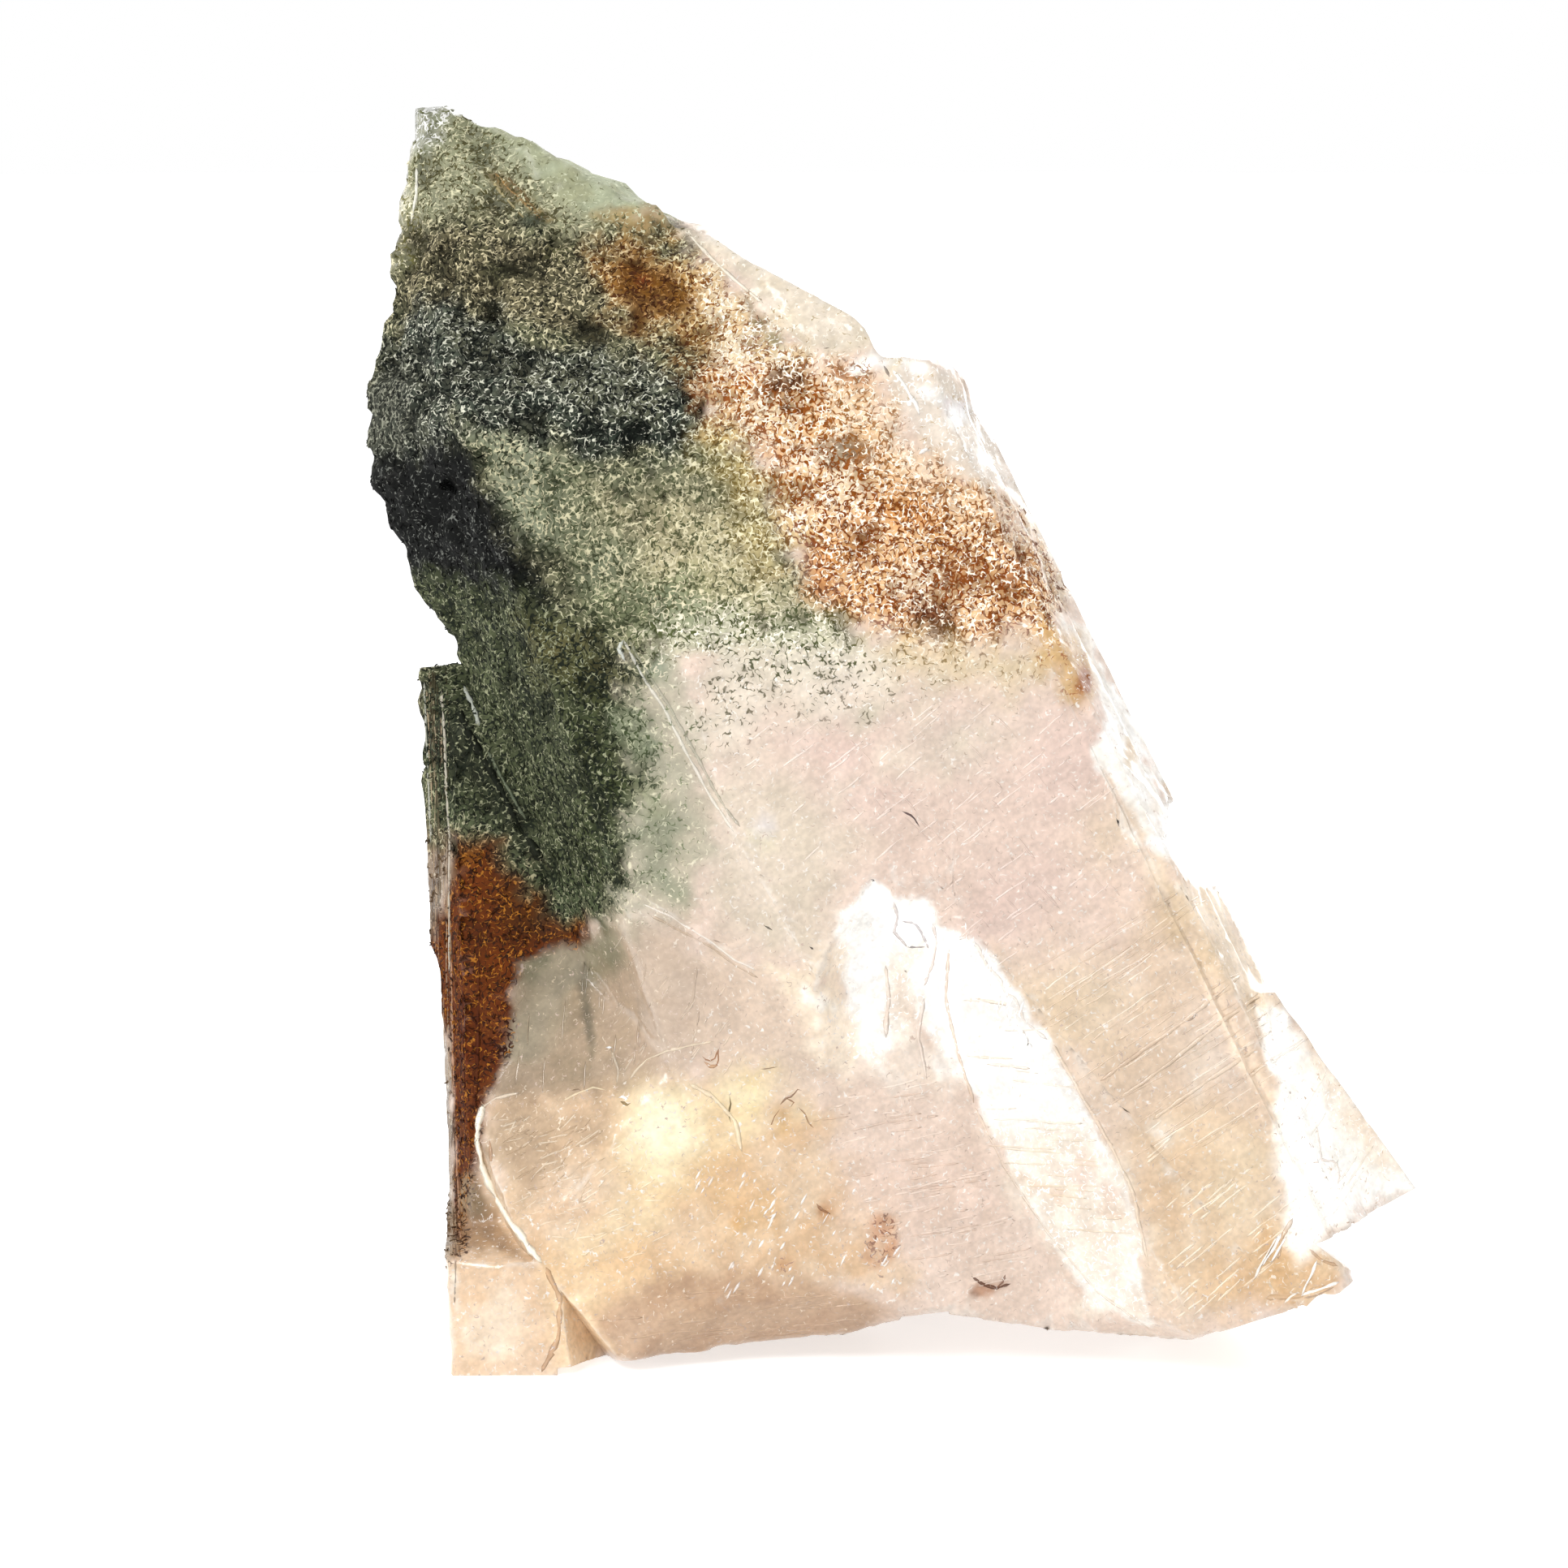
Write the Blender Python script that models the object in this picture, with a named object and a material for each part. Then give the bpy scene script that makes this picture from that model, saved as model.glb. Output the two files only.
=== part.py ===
"""A chlorite quartz crystal standing on its broken base.

A leaning main crystal with a pointed end has a small column grown against its right edge and
an upright crystal against its lower left side. They grew together, so they are one solid.
Chlorite coats the pointed end and the left side as a lumpy crust. The lower front and the foot
are fractures: bevelled, scooped out and chipped, and cut flat where the crystal rests.

Places are measured in millimetres on the crystal as it is seen square on to its big front
face: to the right of the middle, up from the foot, and back from the front face. The whole
is then leaned back a little, to stand on its foot.
"""

import math

import bmesh
import bpy
from mathutils import Matrix, Vector, noise

MM = 0.001

# The stance, and the growth direction of the main crystal

LEAN_BACK = math.radians(9.0)
AXIS_TILT = math.radians(26.5)
AXIS = Vector((-math.sin(AXIS_TILT), 0.0, math.cos(AXIS_TILT)))
ACROSS = Vector((math.cos(AXIS_TILT), 0.0, math.sin(AXIS_TILT)))
RIGHT = Vector((1.0, 0.0, 0.0))
BACK = Vector((0.0, 1.0, 0.0))
UP = Vector((0.0, 0.0, 1.0))

# Quartz: a six-sided prism, with end faces that slope this far from its axis

SIXTH_TURN = math.radians(60)
END_SLOPE = math.radians(38.2)

# The main crystal: its tip, and how far it reaches across and back from its axis

TIP = (-26.3, 71.4, 10.0)
TIP_BLUNT = 70.5
MAIN_LEFT = 10.1
MAIN_RIGHT = 18.9
MAIN_DEPTH = 24.5
LEFT_FACE_SEEN = 4.5
RIGHT_FACE_SEEN = 1.2
LEFT_EDGE_DOWN = 12.5
LEFT_FLARE = math.radians(5.5)

# The growth steps on its back and its front face

BACK_STEP = 1.6
BACK_STEP_ROOT = 3.0
BACK_STEP_LEFT = -1.5
BACK_STEP_RIGHT = 4.2
BACK_STEP_DOWN = 38.0
FRONT_STEP = 0.45

# The small column on its right edge

COLUMN_LEFT = 12.0
COLUMN_RIGHT = 19.6
COLUMN_FACE_SEEN = 2.4
COLUMN_EDGE_BACK = 5.2
COLUMN_FRONT = 0.5
COLUMN_DEPTH = 12.0

# The upright crystal at the lower left

SIDE_LEAN = math.radians(2.4)
SIDE_TOP = 39.3
SIDE_LEFT = -25.9
SIDE_FRONT = 6.8
SIDE_DEPTH = 21.0
SIDE_STRIP = 1.4
SIDE_TOP_SLOPE = math.radians(35)

# The crust of chlorite: how far it reaches from the tip, and the size of its lumps

CRUST_DOWN = 34.0
END_CRUST_DOWN = 19.0
END_CRUST_ACROSS = 13.0
LEFT_CRUST_ACROSS = -3.0
CRUST_ROW = 1.25
CRUST_HEIGHT = 0.5
LUMP_SPACING = 2.3
LUMP_GRAIN = 1.3
SHOULDER_BULGE = 0.75
SHOULDER = (-27.6, 47.6, 8.0)
SHOULDER_REACH = 7.5

BLOCK = 0.3
WELD = 0.02
SLIVER = 0.05


def seen(right, up, back=0.0):
    """A place on the crystal, in metres, from millimetres to the right, up and back."""
    return Vector((right, back, up)) * MM


def end_below(depth):
    """The lower end of a grown crystal, under the floor, where the foot is cut off later."""
    return seen(0, -depth), -UP


def clear_scene():
    for old in list(bpy.data.objects):
        bpy.data.objects.remove(old, do_unlink=True)


def new_object(name, bm):
    mesh = bpy.data.meshes.new(name)
    bm.to_mesh(mesh)
    bm.free()
    made = bpy.data.objects.new(name, mesh)
    bpy.context.collection.objects.link(made)
    return made


def solid_between(name, planes):
    """A closed solid with flat faces: what is left of a block behind every plane."""
    bm = bmesh.new()
    bmesh.ops.create_cube(bm, size=BLOCK)
    for place, normal in planes:
        everything = bm.verts[:] + bm.edges[:] + bm.faces[:]
        cut = bmesh.ops.bisect_plane(
            bm, geom=everything, dist=1e-7, plane_co=place, plane_no=normal, clear_outer=True
        )
        rim = [e for e in cut["geom_cut"] if isinstance(e, bmesh.types.BMEdge)]
        if rim:
            bmesh.ops.contextual_create(bm, geom=rim)
    bmesh.ops.recalc_face_normals(bm, faces=bm.faces)
    return new_object(name, bm)


def plane_through(inside, a, b, c):
    """The plane through three places, its normal turned away from a place inside the solid."""
    normal = (b - a).cross(c - a).normalized()
    if normal.dot(inside - a) > 0:
        normal.negate()
    return a, normal


def around(turn):
    """The direction square to the growth axis, turned from the front towards the right."""
    angle = math.radians(turn)
    return ACROSS * math.sin(angle) - BACK * math.cos(angle)


def from_tip(across, back, down=0.0):
    """A place from the main crystal's tip: across it, back from the front face, down the axis."""
    tip = seen(*TIP)
    return Vector((tip.x, 0.0, tip.z)) + (ACROSS * across - AXIS * down + BACK * back) * MM


# The crystals that grew together


def main_crystal():
    left_edge = from_tip(-MAIN_LEFT, LEFT_FACE_SEEN * math.tan(SIXTH_TURN), LEFT_EDGE_DOWN)
    flare = AXIS * math.tan(LEFT_FLARE)
    sides = [
        (from_tip(0, 0), around(0)),
        (from_tip(MAIN_RIGHT - RIGHT_FACE_SEEN, 0), around(60)),
        (from_tip(MAIN_RIGHT, RIGHT_FACE_SEEN * math.tan(SIXTH_TURN)), around(120)),
        (from_tip(0, MAIN_DEPTH), around(180)),
        (left_edge, (around(240) + flare).normalized()),
        (left_edge, (around(300) + flare).normalized()),
    ]
    inside = from_tip(4, 12, 30)
    tip = seen(*TIP)
    left_shoulder = seen(-29.1, 54.8, 8.0)
    front_left = seen(-23.6, 52.1, 0.0)
    front_right = seen(-1.0, 56.6, 0.0)
    right_shoulder = seen(-1.6, 58.0, 5.0)
    back_right = seen(0.0, 56.0, 14.0)
    back_left = seen(-24.0, 54.0, 19.0)
    back_low = seen(-20.0, 56.0, 24.5)
    back_high = seen(-6.0, 58.0, 24.5)
    ends = [
        plane_through(inside, tip, left_shoulder, front_left),
        plane_through(inside, tip, front_left, front_right),
        plane_through(inside, tip, front_right, right_shoulder),
        plane_through(inside, tip, right_shoulder, back_right),
        plane_through(inside, tip, left_shoulder, back_left),
        plane_through(inside, tip, back_low, back_high),
        (seen(TIP[0], TIP_BLUNT, TIP[2]), (UP - 0.15 * RIGHT + 0.1 * BACK).normalized()),
    ]
    return solid_between("main_crystal", sides + ends + [end_below(12.0)])


def right_column():
    """The parallel column whose top stands below the main crystal's shoulder."""
    inside = from_tip(17, 6, 40)
    top_left = seen(-1.6, 56.5, 3.0)
    top_right = seen(3.4, 54.7, 3.0)
    top_back = seen(0.0, 56.2, 9.0)
    front_left = seen(-2.0, 55.0, 0.0)
    corner = seen(2.9, 55.2, 3.0)
    corner_low = seen(4.6, 53.2, 5.0)
    corner_front = seen(4.0, 53.0, 0.5)
    planes = [
        (from_tip(0, COLUMN_FRONT), around(0)),
        (from_tip(COLUMN_RIGHT - COLUMN_FACE_SEEN, COLUMN_FRONT), around(60)),
        (from_tip(COLUMN_RIGHT, COLUMN_EDGE_BACK), around(120)),
        (from_tip(0, COLUMN_DEPTH), around(180)),
        (from_tip(COLUMN_LEFT, 0), -ACROSS),
        plane_through(inside, top_left, top_right, top_back),
        plane_through(inside, top_left, top_right, front_left),
        plane_through(inside, corner, corner_low, corner_front),
        end_below(12.5),
    ]
    return solid_between("right_column", planes)


def side_crystal():
    """The upright crystal at the lower left, with a narrow face on its left edge."""
    down = RIGHT * math.sin(SIDE_LEAN) - UP * math.cos(SIDE_LEAN)
    out = -RIGHT * math.cos(SIDE_LEAN) - UP * math.sin(SIDE_LEAN)
    edge = seen(SIDE_LEFT, SIDE_TOP, SIDE_FRONT + SIDE_STRIP * math.tan(SIXTH_TURN))
    planes = [
        (seen(0, 0, SIDE_FRONT), -BACK),
        (edge, out * math.sin(SIXTH_TURN) - BACK * math.cos(SIXTH_TURN)),
        (edge, out * math.sin(SIXTH_TURN) + BACK * math.cos(SIXTH_TURN)),
        (seen(0, 0, SIDE_DEPTH), BACK),
        (seen(0, 0, 0), -out),
        (edge, -down),
        (edge, -BACK * math.cos(SIDE_TOP_SLOPE) - down * math.sin(SIDE_TOP_SLOPE)),
        end_below(13.0),
    ]
    return solid_between("side_crystal", planes)


def front_mass():
    """The broken lump in front of the side crystal, with the plate's rim as its left edge."""
    inside = seen(-10, 8, 6)
    rim_top = seen(-22.7, 14.9, 3.6)
    rim_middle = seen(-20.2, 7.6, 2.6)
    rim_foot = seen(-16.5, 3.4, 2.2)
    crown = seen(-16, 12, 1.9)
    crown_right = seen(-4, 14, 1.7)
    crown_foot = seen(-8, 4, 2.2)
    top_middle = seen(-12.0, 17.0, 1.7)
    top_right = seen(-6.5, 22.0, 0.6)
    planes = [
        plane_through(inside, rim_top, crown, seen(-19.5, 6.0, 2.5)),
        plane_through(inside, crown, crown_right, crown_foot),
        plane_through(inside, rim_top, rim_middle, seen(-22.9, 13.0, 7.0)),
        plane_through(inside, rim_middle, rim_foot, seen(-20.6, 6.6, 7.0)),
        plane_through(inside, rim_top, top_middle, seen(-17.0, 23.0, 6.8)),
        plane_through(inside, top_middle, top_right, seen(-13.0, 24.5, 5.0)),
        (seen(0, 0, 0), RIGHT),
        (seen(-24.4, 0, 0), -RIGHT),
        (seen(0, 0, 10.0), BACK),
        end_below(13.5),
    ]
    return solid_between("front_mass", planes)


def corner_block():
    """The chipped block at the bottom left corner, on which the crystal rests in front."""
    inside = seen(-20, 3, 6)
    front_left = seen(-24.2, 6.0, 3.4)
    front_right = seen(-18.8, 6.0, 1.6)
    front_foot = seen(-20.0, 0.0, 1.4)
    left_high = seen(-24.45, 5.0, 5.0)
    left_low = seen(-24.2, 0.8, 5.0)
    top_left = seen(-24.3, 6.8, 3.6)
    top_right = seen(-19.6, 6.4, 1.8)
    planes = [
        plane_through(inside, front_left, front_right, front_foot),
        plane_through(inside, left_high, left_low, seen(-24.5, 5.0, 9.0)),
        plane_through(inside, seen(-24.4, 6.0, 3.6), seen(-24.1, 0.6, 3.2), seen(-24.9, 3.0, 5.4)),
        plane_through(inside, top_left, top_right, seen(-23.0, 8.6, 7.4)),
        plane_through(inside, seen(-18.7, 6.0, 1.8), seen(-18.2, 1.0, 1.8), seen(-16.0, 3.0, 7.0)),
        (seen(0, 0, 14), BACK),
        end_below(14.0),
    ]
    return solid_between("corner_block", planes)


def right_wedge():
    """The sharp wedge that flares out at the lower right."""
    inside = seen(24, 12, 7)
    top = seen(20.8, 20.8, 5.0)
    point = seen(28.6, 10.5, 7.0)
    point_front = seen(28.6, 10.5, 4.5)
    gap_end = seen(22.8, 8.0, 7.0)
    gap_front = seen(23.0, 8.0, 0.3)
    top_front = seen(20.0, 21.0, 0.3)
    planes = [
        plane_through(inside, top, point, seen(28.0, 10.8, 12.0)),
        plane_through(inside, point, gap_end, seen(27.5, 10.2, 13.0)),
        plane_through(inside, top_front, point_front, gap_front),
        plane_through(inside, point, seen(21.0, 20.0, 14.0), seen(23.0, 8.2, 14.0)),
        plane_through(inside, top_front, gap_front, seen(14.0, 19.0, 9.0)),
        (seen(12.0, 0, 0), -RIGHT),
        (seen(0, 21.5, 0), UP),
        (seen(0, 0, 10.0), BACK),
        end_below(14.5),
    ]
    return solid_between("right_wedge", planes)


def back_step():
    """A growth step on the back: a thin parallel slab with its own sloping end."""
    back = MAIN_DEPTH + BACK_STEP
    end = around(180) * math.cos(END_SLOPE) + AXIS * math.sin(END_SLOPE)
    planes = [
        (from_tip(0, back), around(180)),
        (from_tip(BACK_STEP_RIGHT, back), around(120)),
        (from_tip(BACK_STEP_LEFT, back), around(240)),
        (from_tip(0, MAIN_DEPTH - BACK_STEP_ROOT), around(0)),
        (from_tip(0, back, BACK_STEP_DOWN), end),
        end_below(15.0),
    ]
    return solid_between("back_step", planes)


def front_step():
    """A faint growth step on the front face: a sheet that stands proud lower down."""
    inside = seen(0, 30, 2)
    top_left = seen(-14.8, 40.7, 0.0)
    left = seen(-8.7, 30.1, -FRONT_STEP / 2)
    top_right = seen(10.4, 42.5, 0.0)
    low = seen(0.0, 20.0, -FRONT_STEP)
    planes = [
        plane_through(inside, top_left, top_right, low),
        plane_through(inside, top_left, left, seen(-14.8, 39.0, 2.0)),
        plane_through(inside, left, seen(-6.0, 21.8, -FRONT_STEP), seen(-9.2, 26.0, 2.0)),
        (from_tip(MAIN_RIGHT - 2.2, 0), around(60)),
        (seen(0, 44.0, 0), UP),
        (seen(0, 0, 1.5), BACK),
        end_below(15.5),
    ]
    return solid_between("front_step", planes)


# What broke off


def ledge_cut():
    """The upper left part of the front fracture, under a long ledge."""
    inside = seen(-8, 10, -20)
    ledge_left = seen(-12.0, 25.7, 0.0)
    ledge_right = seen(-4.6, 20.9, 0.0)
    planes = [
        plane_through(inside, ledge_left, ledge_right, seen(-10, 20.0, 2.0)),
        plane_through(inside, seen(-16, 12, 2.1), seen(-4, 14, 2.05), seen(0, 8, 2.6)),
        (seen(-0.4, 0, 0), RIGHT),
        (seen(0, 0, -60), -BACK),
    ]
    return solid_between("ledge_cut", planes)


def bevel_cut():
    """The lower right part of the front fracture: a long bevel along the front face."""
    inside = seen(2, 18, -20)
    head_left = seen(-3.4, 22.4, 0.0)
    head = seen(-1.2, 27.2, 0.0)
    bevel_top = seen(3.2, 24.9, 0.0)
    bevel_foot = seen(14.3, 4.6, 0.0)
    bevel_low = seen(3.1, 18.3, 2.3)
    planes = [
        plane_through(inside, bevel_top, bevel_foot, bevel_low),
        plane_through(inside, head_left, head, seen(-1.2, 21.0, 2.0)),
        plane_through(inside, head, bevel_top, seen(0.6, 22.6, 2.0)),
        plane_through(inside, seen(-4, 14, 2.35), bevel_low, seen(6, 6, 3.2)),
        (seen(0, 0, -61), -BACK),
    ]
    return solid_between("bevel_cut", planes)


def gap_under_wedge():
    inside = seen(30, 7.2, 6)
    end = seen(22.6, 8.0, 0)
    end_back = seen(22.6, 8.0, 20)
    planes = [
        plane_through(inside, end, end_back, seen(30, 11.1, 0)),
        plane_through(inside, end, end_back, seen(24.9, 6.4, 0)),
        (seen(60, 0, 0), RIGHT),
    ]
    return solid_between("gap_under_wedge", planes)


def corner_cut():
    """The lower right corner, broken off under the gap."""
    planes = [
        (seen(24.7, 0, 0), -RIGHT),
        (seen(0, 9, 0), UP),
        (seen(0, -30, 0), -UP),
    ]
    return solid_between("corner_cut", planes)


def foot_cut(name, left, right, rise_back=0.0):
    """Everything below a line across the front, on a plane that rises to the back."""
    inside = seen((left[0] + right[0]) / 2, -30, 0)
    far_left = seen(left[0], left[1] + rise_back, 20)
    planes = [
        plane_through(inside, seen(*left), seen(*right), far_left),
        (seen(left[0] - SLIVER, 0, 0), -RIGHT),
        (seen(right[0] + SLIVER, 0, 0), RIGHT),
        (seen(0, -40, 0), -UP),
    ]
    return solid_between(name, planes)


def foot_cuts():
    """The broken line of the foot in front, from the corner block to the gap."""
    line = [
        (-18.3, 0.9),
        (-10.0, 1.6),
        (-3.0, 2.3),
        (0.5, 3.4),
        (3.0, 3.7),
        (8.4, 2.8),
        (17.5, 2.5),
        (22.1, 3.9),
        (25.5, 6.7),
    ]
    rises = (0.0, 0.4, 0.1, 0.9, 0.2, 0.0, 0.3, 0.9)
    cuts = []
    for number, (left, right, rise) in enumerate(zip(line, line[1:], rises)):
        cuts.append(foot_cut(f"foot_cut_{number}", left, right, rise))
    return cuts


def scoop(name, centre, radii, turn=0.0):
    """A round hollow, to cut away: an ellipsoid turned in the plane of the front face."""
    right, up, back = radii
    sized = Matrix.Diagonal((right * MM, back * MM, up * MM, 1.0))
    turned = Matrix.Rotation(math.radians(-turn), 4, "Y")
    bm = bmesh.new()
    bmesh.ops.create_icosphere(bm, subdivisions=3, radius=1.0)
    matrix = Matrix.Translation(seen(*centre)) @ turned @ sized
    bmesh.ops.transform(bm, matrix=matrix, verts=bm.verts)
    return new_object(name, bm)


def scoops():
    """The shell-shaped hollows of the fractures, on every side."""
    return [
        scoop("bevel_head", (-1.0, 22.0, -2.6), (3.4, 5.6, 4.9), -20),
        scoop("bevel_chip", (1.6, 26.2, -2.1), (2.6, 1.8, 2.6), -25),
        scoop("foot_scoop", (-4.5, -5.5, -2.5), (16.0, 12.6, 10.0)),
        scoop("foot_scoop_right", (11.5, -4.0, -1.0), (9.0, 8.4, 7.0)),
        scoop("under_scoop", (-4.0, -7.5, 16.0), (15.0, 11.6, 7.6)),
        scoop("right_edge_notch", (17.4, 29.9, 5.0), (3.0, 2.7, 10.0), 20),
        scoop("back_corner", (20.5, 2.0, 24.5), (8.0, 8.5, 7.0), 15),
        scoop("back_edge_chip", (-21.0, 3.0, 24.5), (6.5, 5.5, 5.0), 10),
        scoop("back_chip", (2.5, 5.5, 30.0), (7.0, 5.0, 6.0), -20),
    ]


def floor_cut():
    """Everything below the flat patches that the crystal rests on."""
    up = Matrix.Rotation(LEAN_BACK, 3, "X") @ UP
    return solid_between("floor_cut", [(Vector((0, 0, 0)), up)])


def combine(base, others, operation):
    """Joins the base with the others, or cuts them from it, and removes them."""
    for other in others:
        joint = base.modifiers.new(other.name, "BOOLEAN")
        joint.operation = operation
        joint.solver = "EXACT"
        joint.object = other
    view = bpy.context.evaluated_depsgraph_get()
    mesh = bpy.data.meshes.new_from_object(base.evaluated_get(view))
    base.modifiers.clear()
    base.data = mesh
    for other in others:
        bpy.data.objects.remove(other, do_unlink=True)


# The crust


def down_axis(place):
    """How far a place is from the tip, down the growth axis, in millimetres."""
    return (seen(*TIP) - place).dot(AXIS) / MM


def off_axis(place):
    """How far a place is to the right of the axis through the tip, in millimetres."""
    return (place - seen(*TIP)).dot(ACROSS) / MM


def fade(value, start, end):
    """Falls smoothly from one at the start to nothing at the end."""
    part = min(max((value - start) / (end - start), 0.0), 1.0)
    return 1.0 - part * part * (3.0 - 2.0 * part)


def crust_at(place):
    """How much crust a place has: all on the pointed end, and lower down on the left side."""
    down = down_axis(place)
    across = off_axis(place)
    on_end = fade(down, END_CRUST_DOWN - 6.0, END_CRUST_DOWN)
    on_end *= fade(across, END_CRUST_ACROSS - 6.0, END_CRUST_ACROSS)
    on_left = fade(down, CRUST_DOWN - 8.0, CRUST_DOWN)
    on_left *= fade(across, LEFT_CRUST_ACROSS - 2.0, LEFT_CRUST_ACROSS)
    return max(on_end, on_left)


def crust_height(place):
    """Rounded lumps with a grain, and a bulge on the left shoulder, in millimetres."""
    near = noise.voronoi(place / (LUMP_SPACING * MM))[0][0]
    grain = noise.noise(place / (LUMP_GRAIN * MM))
    lump = max(0.0, 1.0 - 1.6 * near) + 0.45 * grain
    bulge = fade((place - seen(*SHOULDER)).length / MM, 0.0, SHOULDER_REACH)
    return CRUST_HEIGHT * lump + SHOULDER_BULGE * bulge


def in_crust(face):
    middle = face.calc_center_median()
    down = down_axis(middle)
    across = off_axis(middle)
    on_end = down < END_CRUST_DOWN and across < END_CRUST_ACROSS
    return on_end or (down < CRUST_DOWN and across < LEFT_CRUST_ACROSS)


def slice_faces(bm, faces, place, direction):
    """Cuts faces with one plane, so that they can be shaped."""
    edges = list({e for f in faces for e in f.edges})
    verts = list({v for f in faces for v in f.verts})
    bmesh.ops.bisect_plane(
        bm, geom=verts + edges + faces, dist=WELD * MM, plane_co=place, plane_no=direction
    )


def raise_crust(crystal):
    """Cuts the coated faces into small ones, and raises the crust on them."""
    bm = bmesh.new()
    bm.from_mesh(crystal.data)
    tip = seen(*TIP)
    borders = (
        (-AXIS, CRUST_DOWN),
        (-AXIS, END_CRUST_DOWN),
        (ACROSS, END_CRUST_ACROSS),
        (ACROSS, LEFT_CRUST_ACROSS),
    )
    for direction, away in borders:
        slice_faces(bm, bm.faces[:], tip + direction * away * MM, direction)
    spans = (
        (-AXIS, 0.0, CRUST_DOWN),
        (ACROSS, -14.0, END_CRUST_ACROSS),
        (BACK, -10.0, 16.0),
    )
    for direction, start, end in spans:
        for row in range(1, int((end - start) / CRUST_ROW)):
            place = tip + direction * (start + row * CRUST_ROW) * MM
            slice_faces(bm, [f for f in bm.faces if in_crust(f)], place, direction)
    bmesh.ops.remove_doubles(bm, verts=bm.verts, dist=SLIVER * MM)
    bmesh.ops.dissolve_degenerate(bm, edges=bm.edges, dist=WELD * MM)
    bmesh.ops.triangulate(bm, faces=bm.faces)
    bm.normal_update()
    moves = [v.normal * crust_height(v.co) * crust_at(v.co) * MM for v in bm.verts]
    for vert, move in zip(bm.verts, moves):
        vert.co += move
    bm.to_mesh(crystal.data)
    bm.free()


def stand_on_foot(crystal):
    """Leans the crystal back, and puts the origin under its middle."""
    crystal.data.transform(Matrix.Rotation(-LEAN_BACK, 4, "X"))
    places = [v.co for v in crystal.data.vertices]
    low = Vector([min(p[i] for p in places) for i in range(3)])
    high = Vector([max(p[i] for p in places) for i in range(3)])
    middle = (low + high) / 2
    crystal.data.transform(Matrix.Translation((-middle.x, -middle.y, -low.z)))


def quartz_material():
    """Milky quartz, pale and a little green."""
    material = bpy.data.materials.new("milky_quartz")
    material.use_nodes = True
    shader = material.node_tree.nodes["Principled BSDF"]
    shader.inputs["Base Color"].default_value = (0.62, 0.60, 0.52, 1.0)
    shader.inputs["Roughness"].default_value = 0.3
    shader.inputs["Metallic"].default_value = 0.0
    return material


def build():
    clear_scene()
    crystal = main_crystal()
    grown = [
        right_column(),
        side_crystal(),
        front_mass(),
        corner_block(),
        right_wedge(),
        back_step(),
        front_step(),
    ]
    combine(crystal, grown, "UNION")
    broken = [ledge_cut(), bevel_cut(), gap_under_wedge(), corner_cut()]
    combine(crystal, broken + foot_cuts() + scoops(), "DIFFERENCE")
    raise_crust(crystal)
    combine(crystal, [floor_cut()], "DIFFERENCE")
    stand_on_foot(crystal)
    crystal.name = "quartz_crystal"
    crystal.data.name = "quartz_crystal"
    crystal.data.materials.clear()
    crystal.data.materials.append(quartz_material())


build()
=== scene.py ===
"""Looks of a leaning chlorite quartz crystal: its tinted growth zones, painted highlights and shade, grains,
curls and clear faces.

The stone is one solid. Its faces are cut fine and given lumps, pits and faint waves, and curls of chlorite
and fine lines are laid on them. Every tint is an outline in the front view that runs through the stone's
depth, wandering more towards the back.
Lengths in this script are millimetres, and become metres when they reach a mesh, a light or the camera.
"""

import math
from dataclasses import dataclass

import bmesh
import bpy
import numpy as np
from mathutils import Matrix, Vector, noise
from mathutils.bvhtree import BVHTree


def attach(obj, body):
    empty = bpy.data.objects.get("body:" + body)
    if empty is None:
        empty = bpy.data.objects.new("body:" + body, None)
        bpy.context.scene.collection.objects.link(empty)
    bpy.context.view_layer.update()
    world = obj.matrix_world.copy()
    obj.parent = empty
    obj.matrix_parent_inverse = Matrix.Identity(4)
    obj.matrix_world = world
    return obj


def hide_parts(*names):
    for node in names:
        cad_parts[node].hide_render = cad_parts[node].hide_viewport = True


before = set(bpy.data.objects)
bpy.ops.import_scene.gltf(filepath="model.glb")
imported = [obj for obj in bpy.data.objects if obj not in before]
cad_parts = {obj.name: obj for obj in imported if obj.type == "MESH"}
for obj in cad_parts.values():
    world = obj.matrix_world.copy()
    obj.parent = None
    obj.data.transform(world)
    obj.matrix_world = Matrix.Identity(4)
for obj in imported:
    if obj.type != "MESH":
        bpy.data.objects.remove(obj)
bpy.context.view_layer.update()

MM = 0.001
STONE = "quartz_crystal"
STONE_MIDDLE = (0, 0, 32)

# Front view: the eye's place, how far it looks down, and the planes of the tints and the front face
EYE = Vector((-5.695, -258.140, 71.475))
LOOKS_DOWN = math.radians(9)
TO_FRONT_PLANE = 255.0
TO_FRONT_FACE = 250.0
VIEW_CENTRE = (-5.98, 32.77)
FRAME_WIDTH = 86.25
SENSOR = 36.0

# How far the tints wander by chance at the front, how much further behind, between which depths behind the
# front face that sets in, and the size of the swells in which they do
WANDER_FRONT = 0.3
WANDER_BEHIND = 6
WANDER_DEPTHS = (4, 20)
WANDER_SIZE = 7

# The prism's long axis, to the left of upright in the front view
AXIS_TILT = math.radians(26.5)

# Longest edge of the small faces into which the stone is cut
PLAIN_CUT = 1.2
CRUST_CUT = 0.6
EDGE_CUT = 0.5
CRUST_FROM = 38.0

# A zone's edge is crisp, and cut fine, where it fades less, covers more and lies less deep than this
CRISP_FADE = 0.45
CRISP_COVER = 0.65
CRISP_DEPTH = 16
CRISP_MARGIN = 0.25

# The faces are cut a little coarser behind, between these depths
COARSER_BEHIND = 0.3
COARSER_DEPTHS = (6, 16)

# Edges flatter than this lie inside a plane face, and points closer than this are one
FLAT_ANGLE = 0.004
SAME_POINT = 0.002
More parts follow.
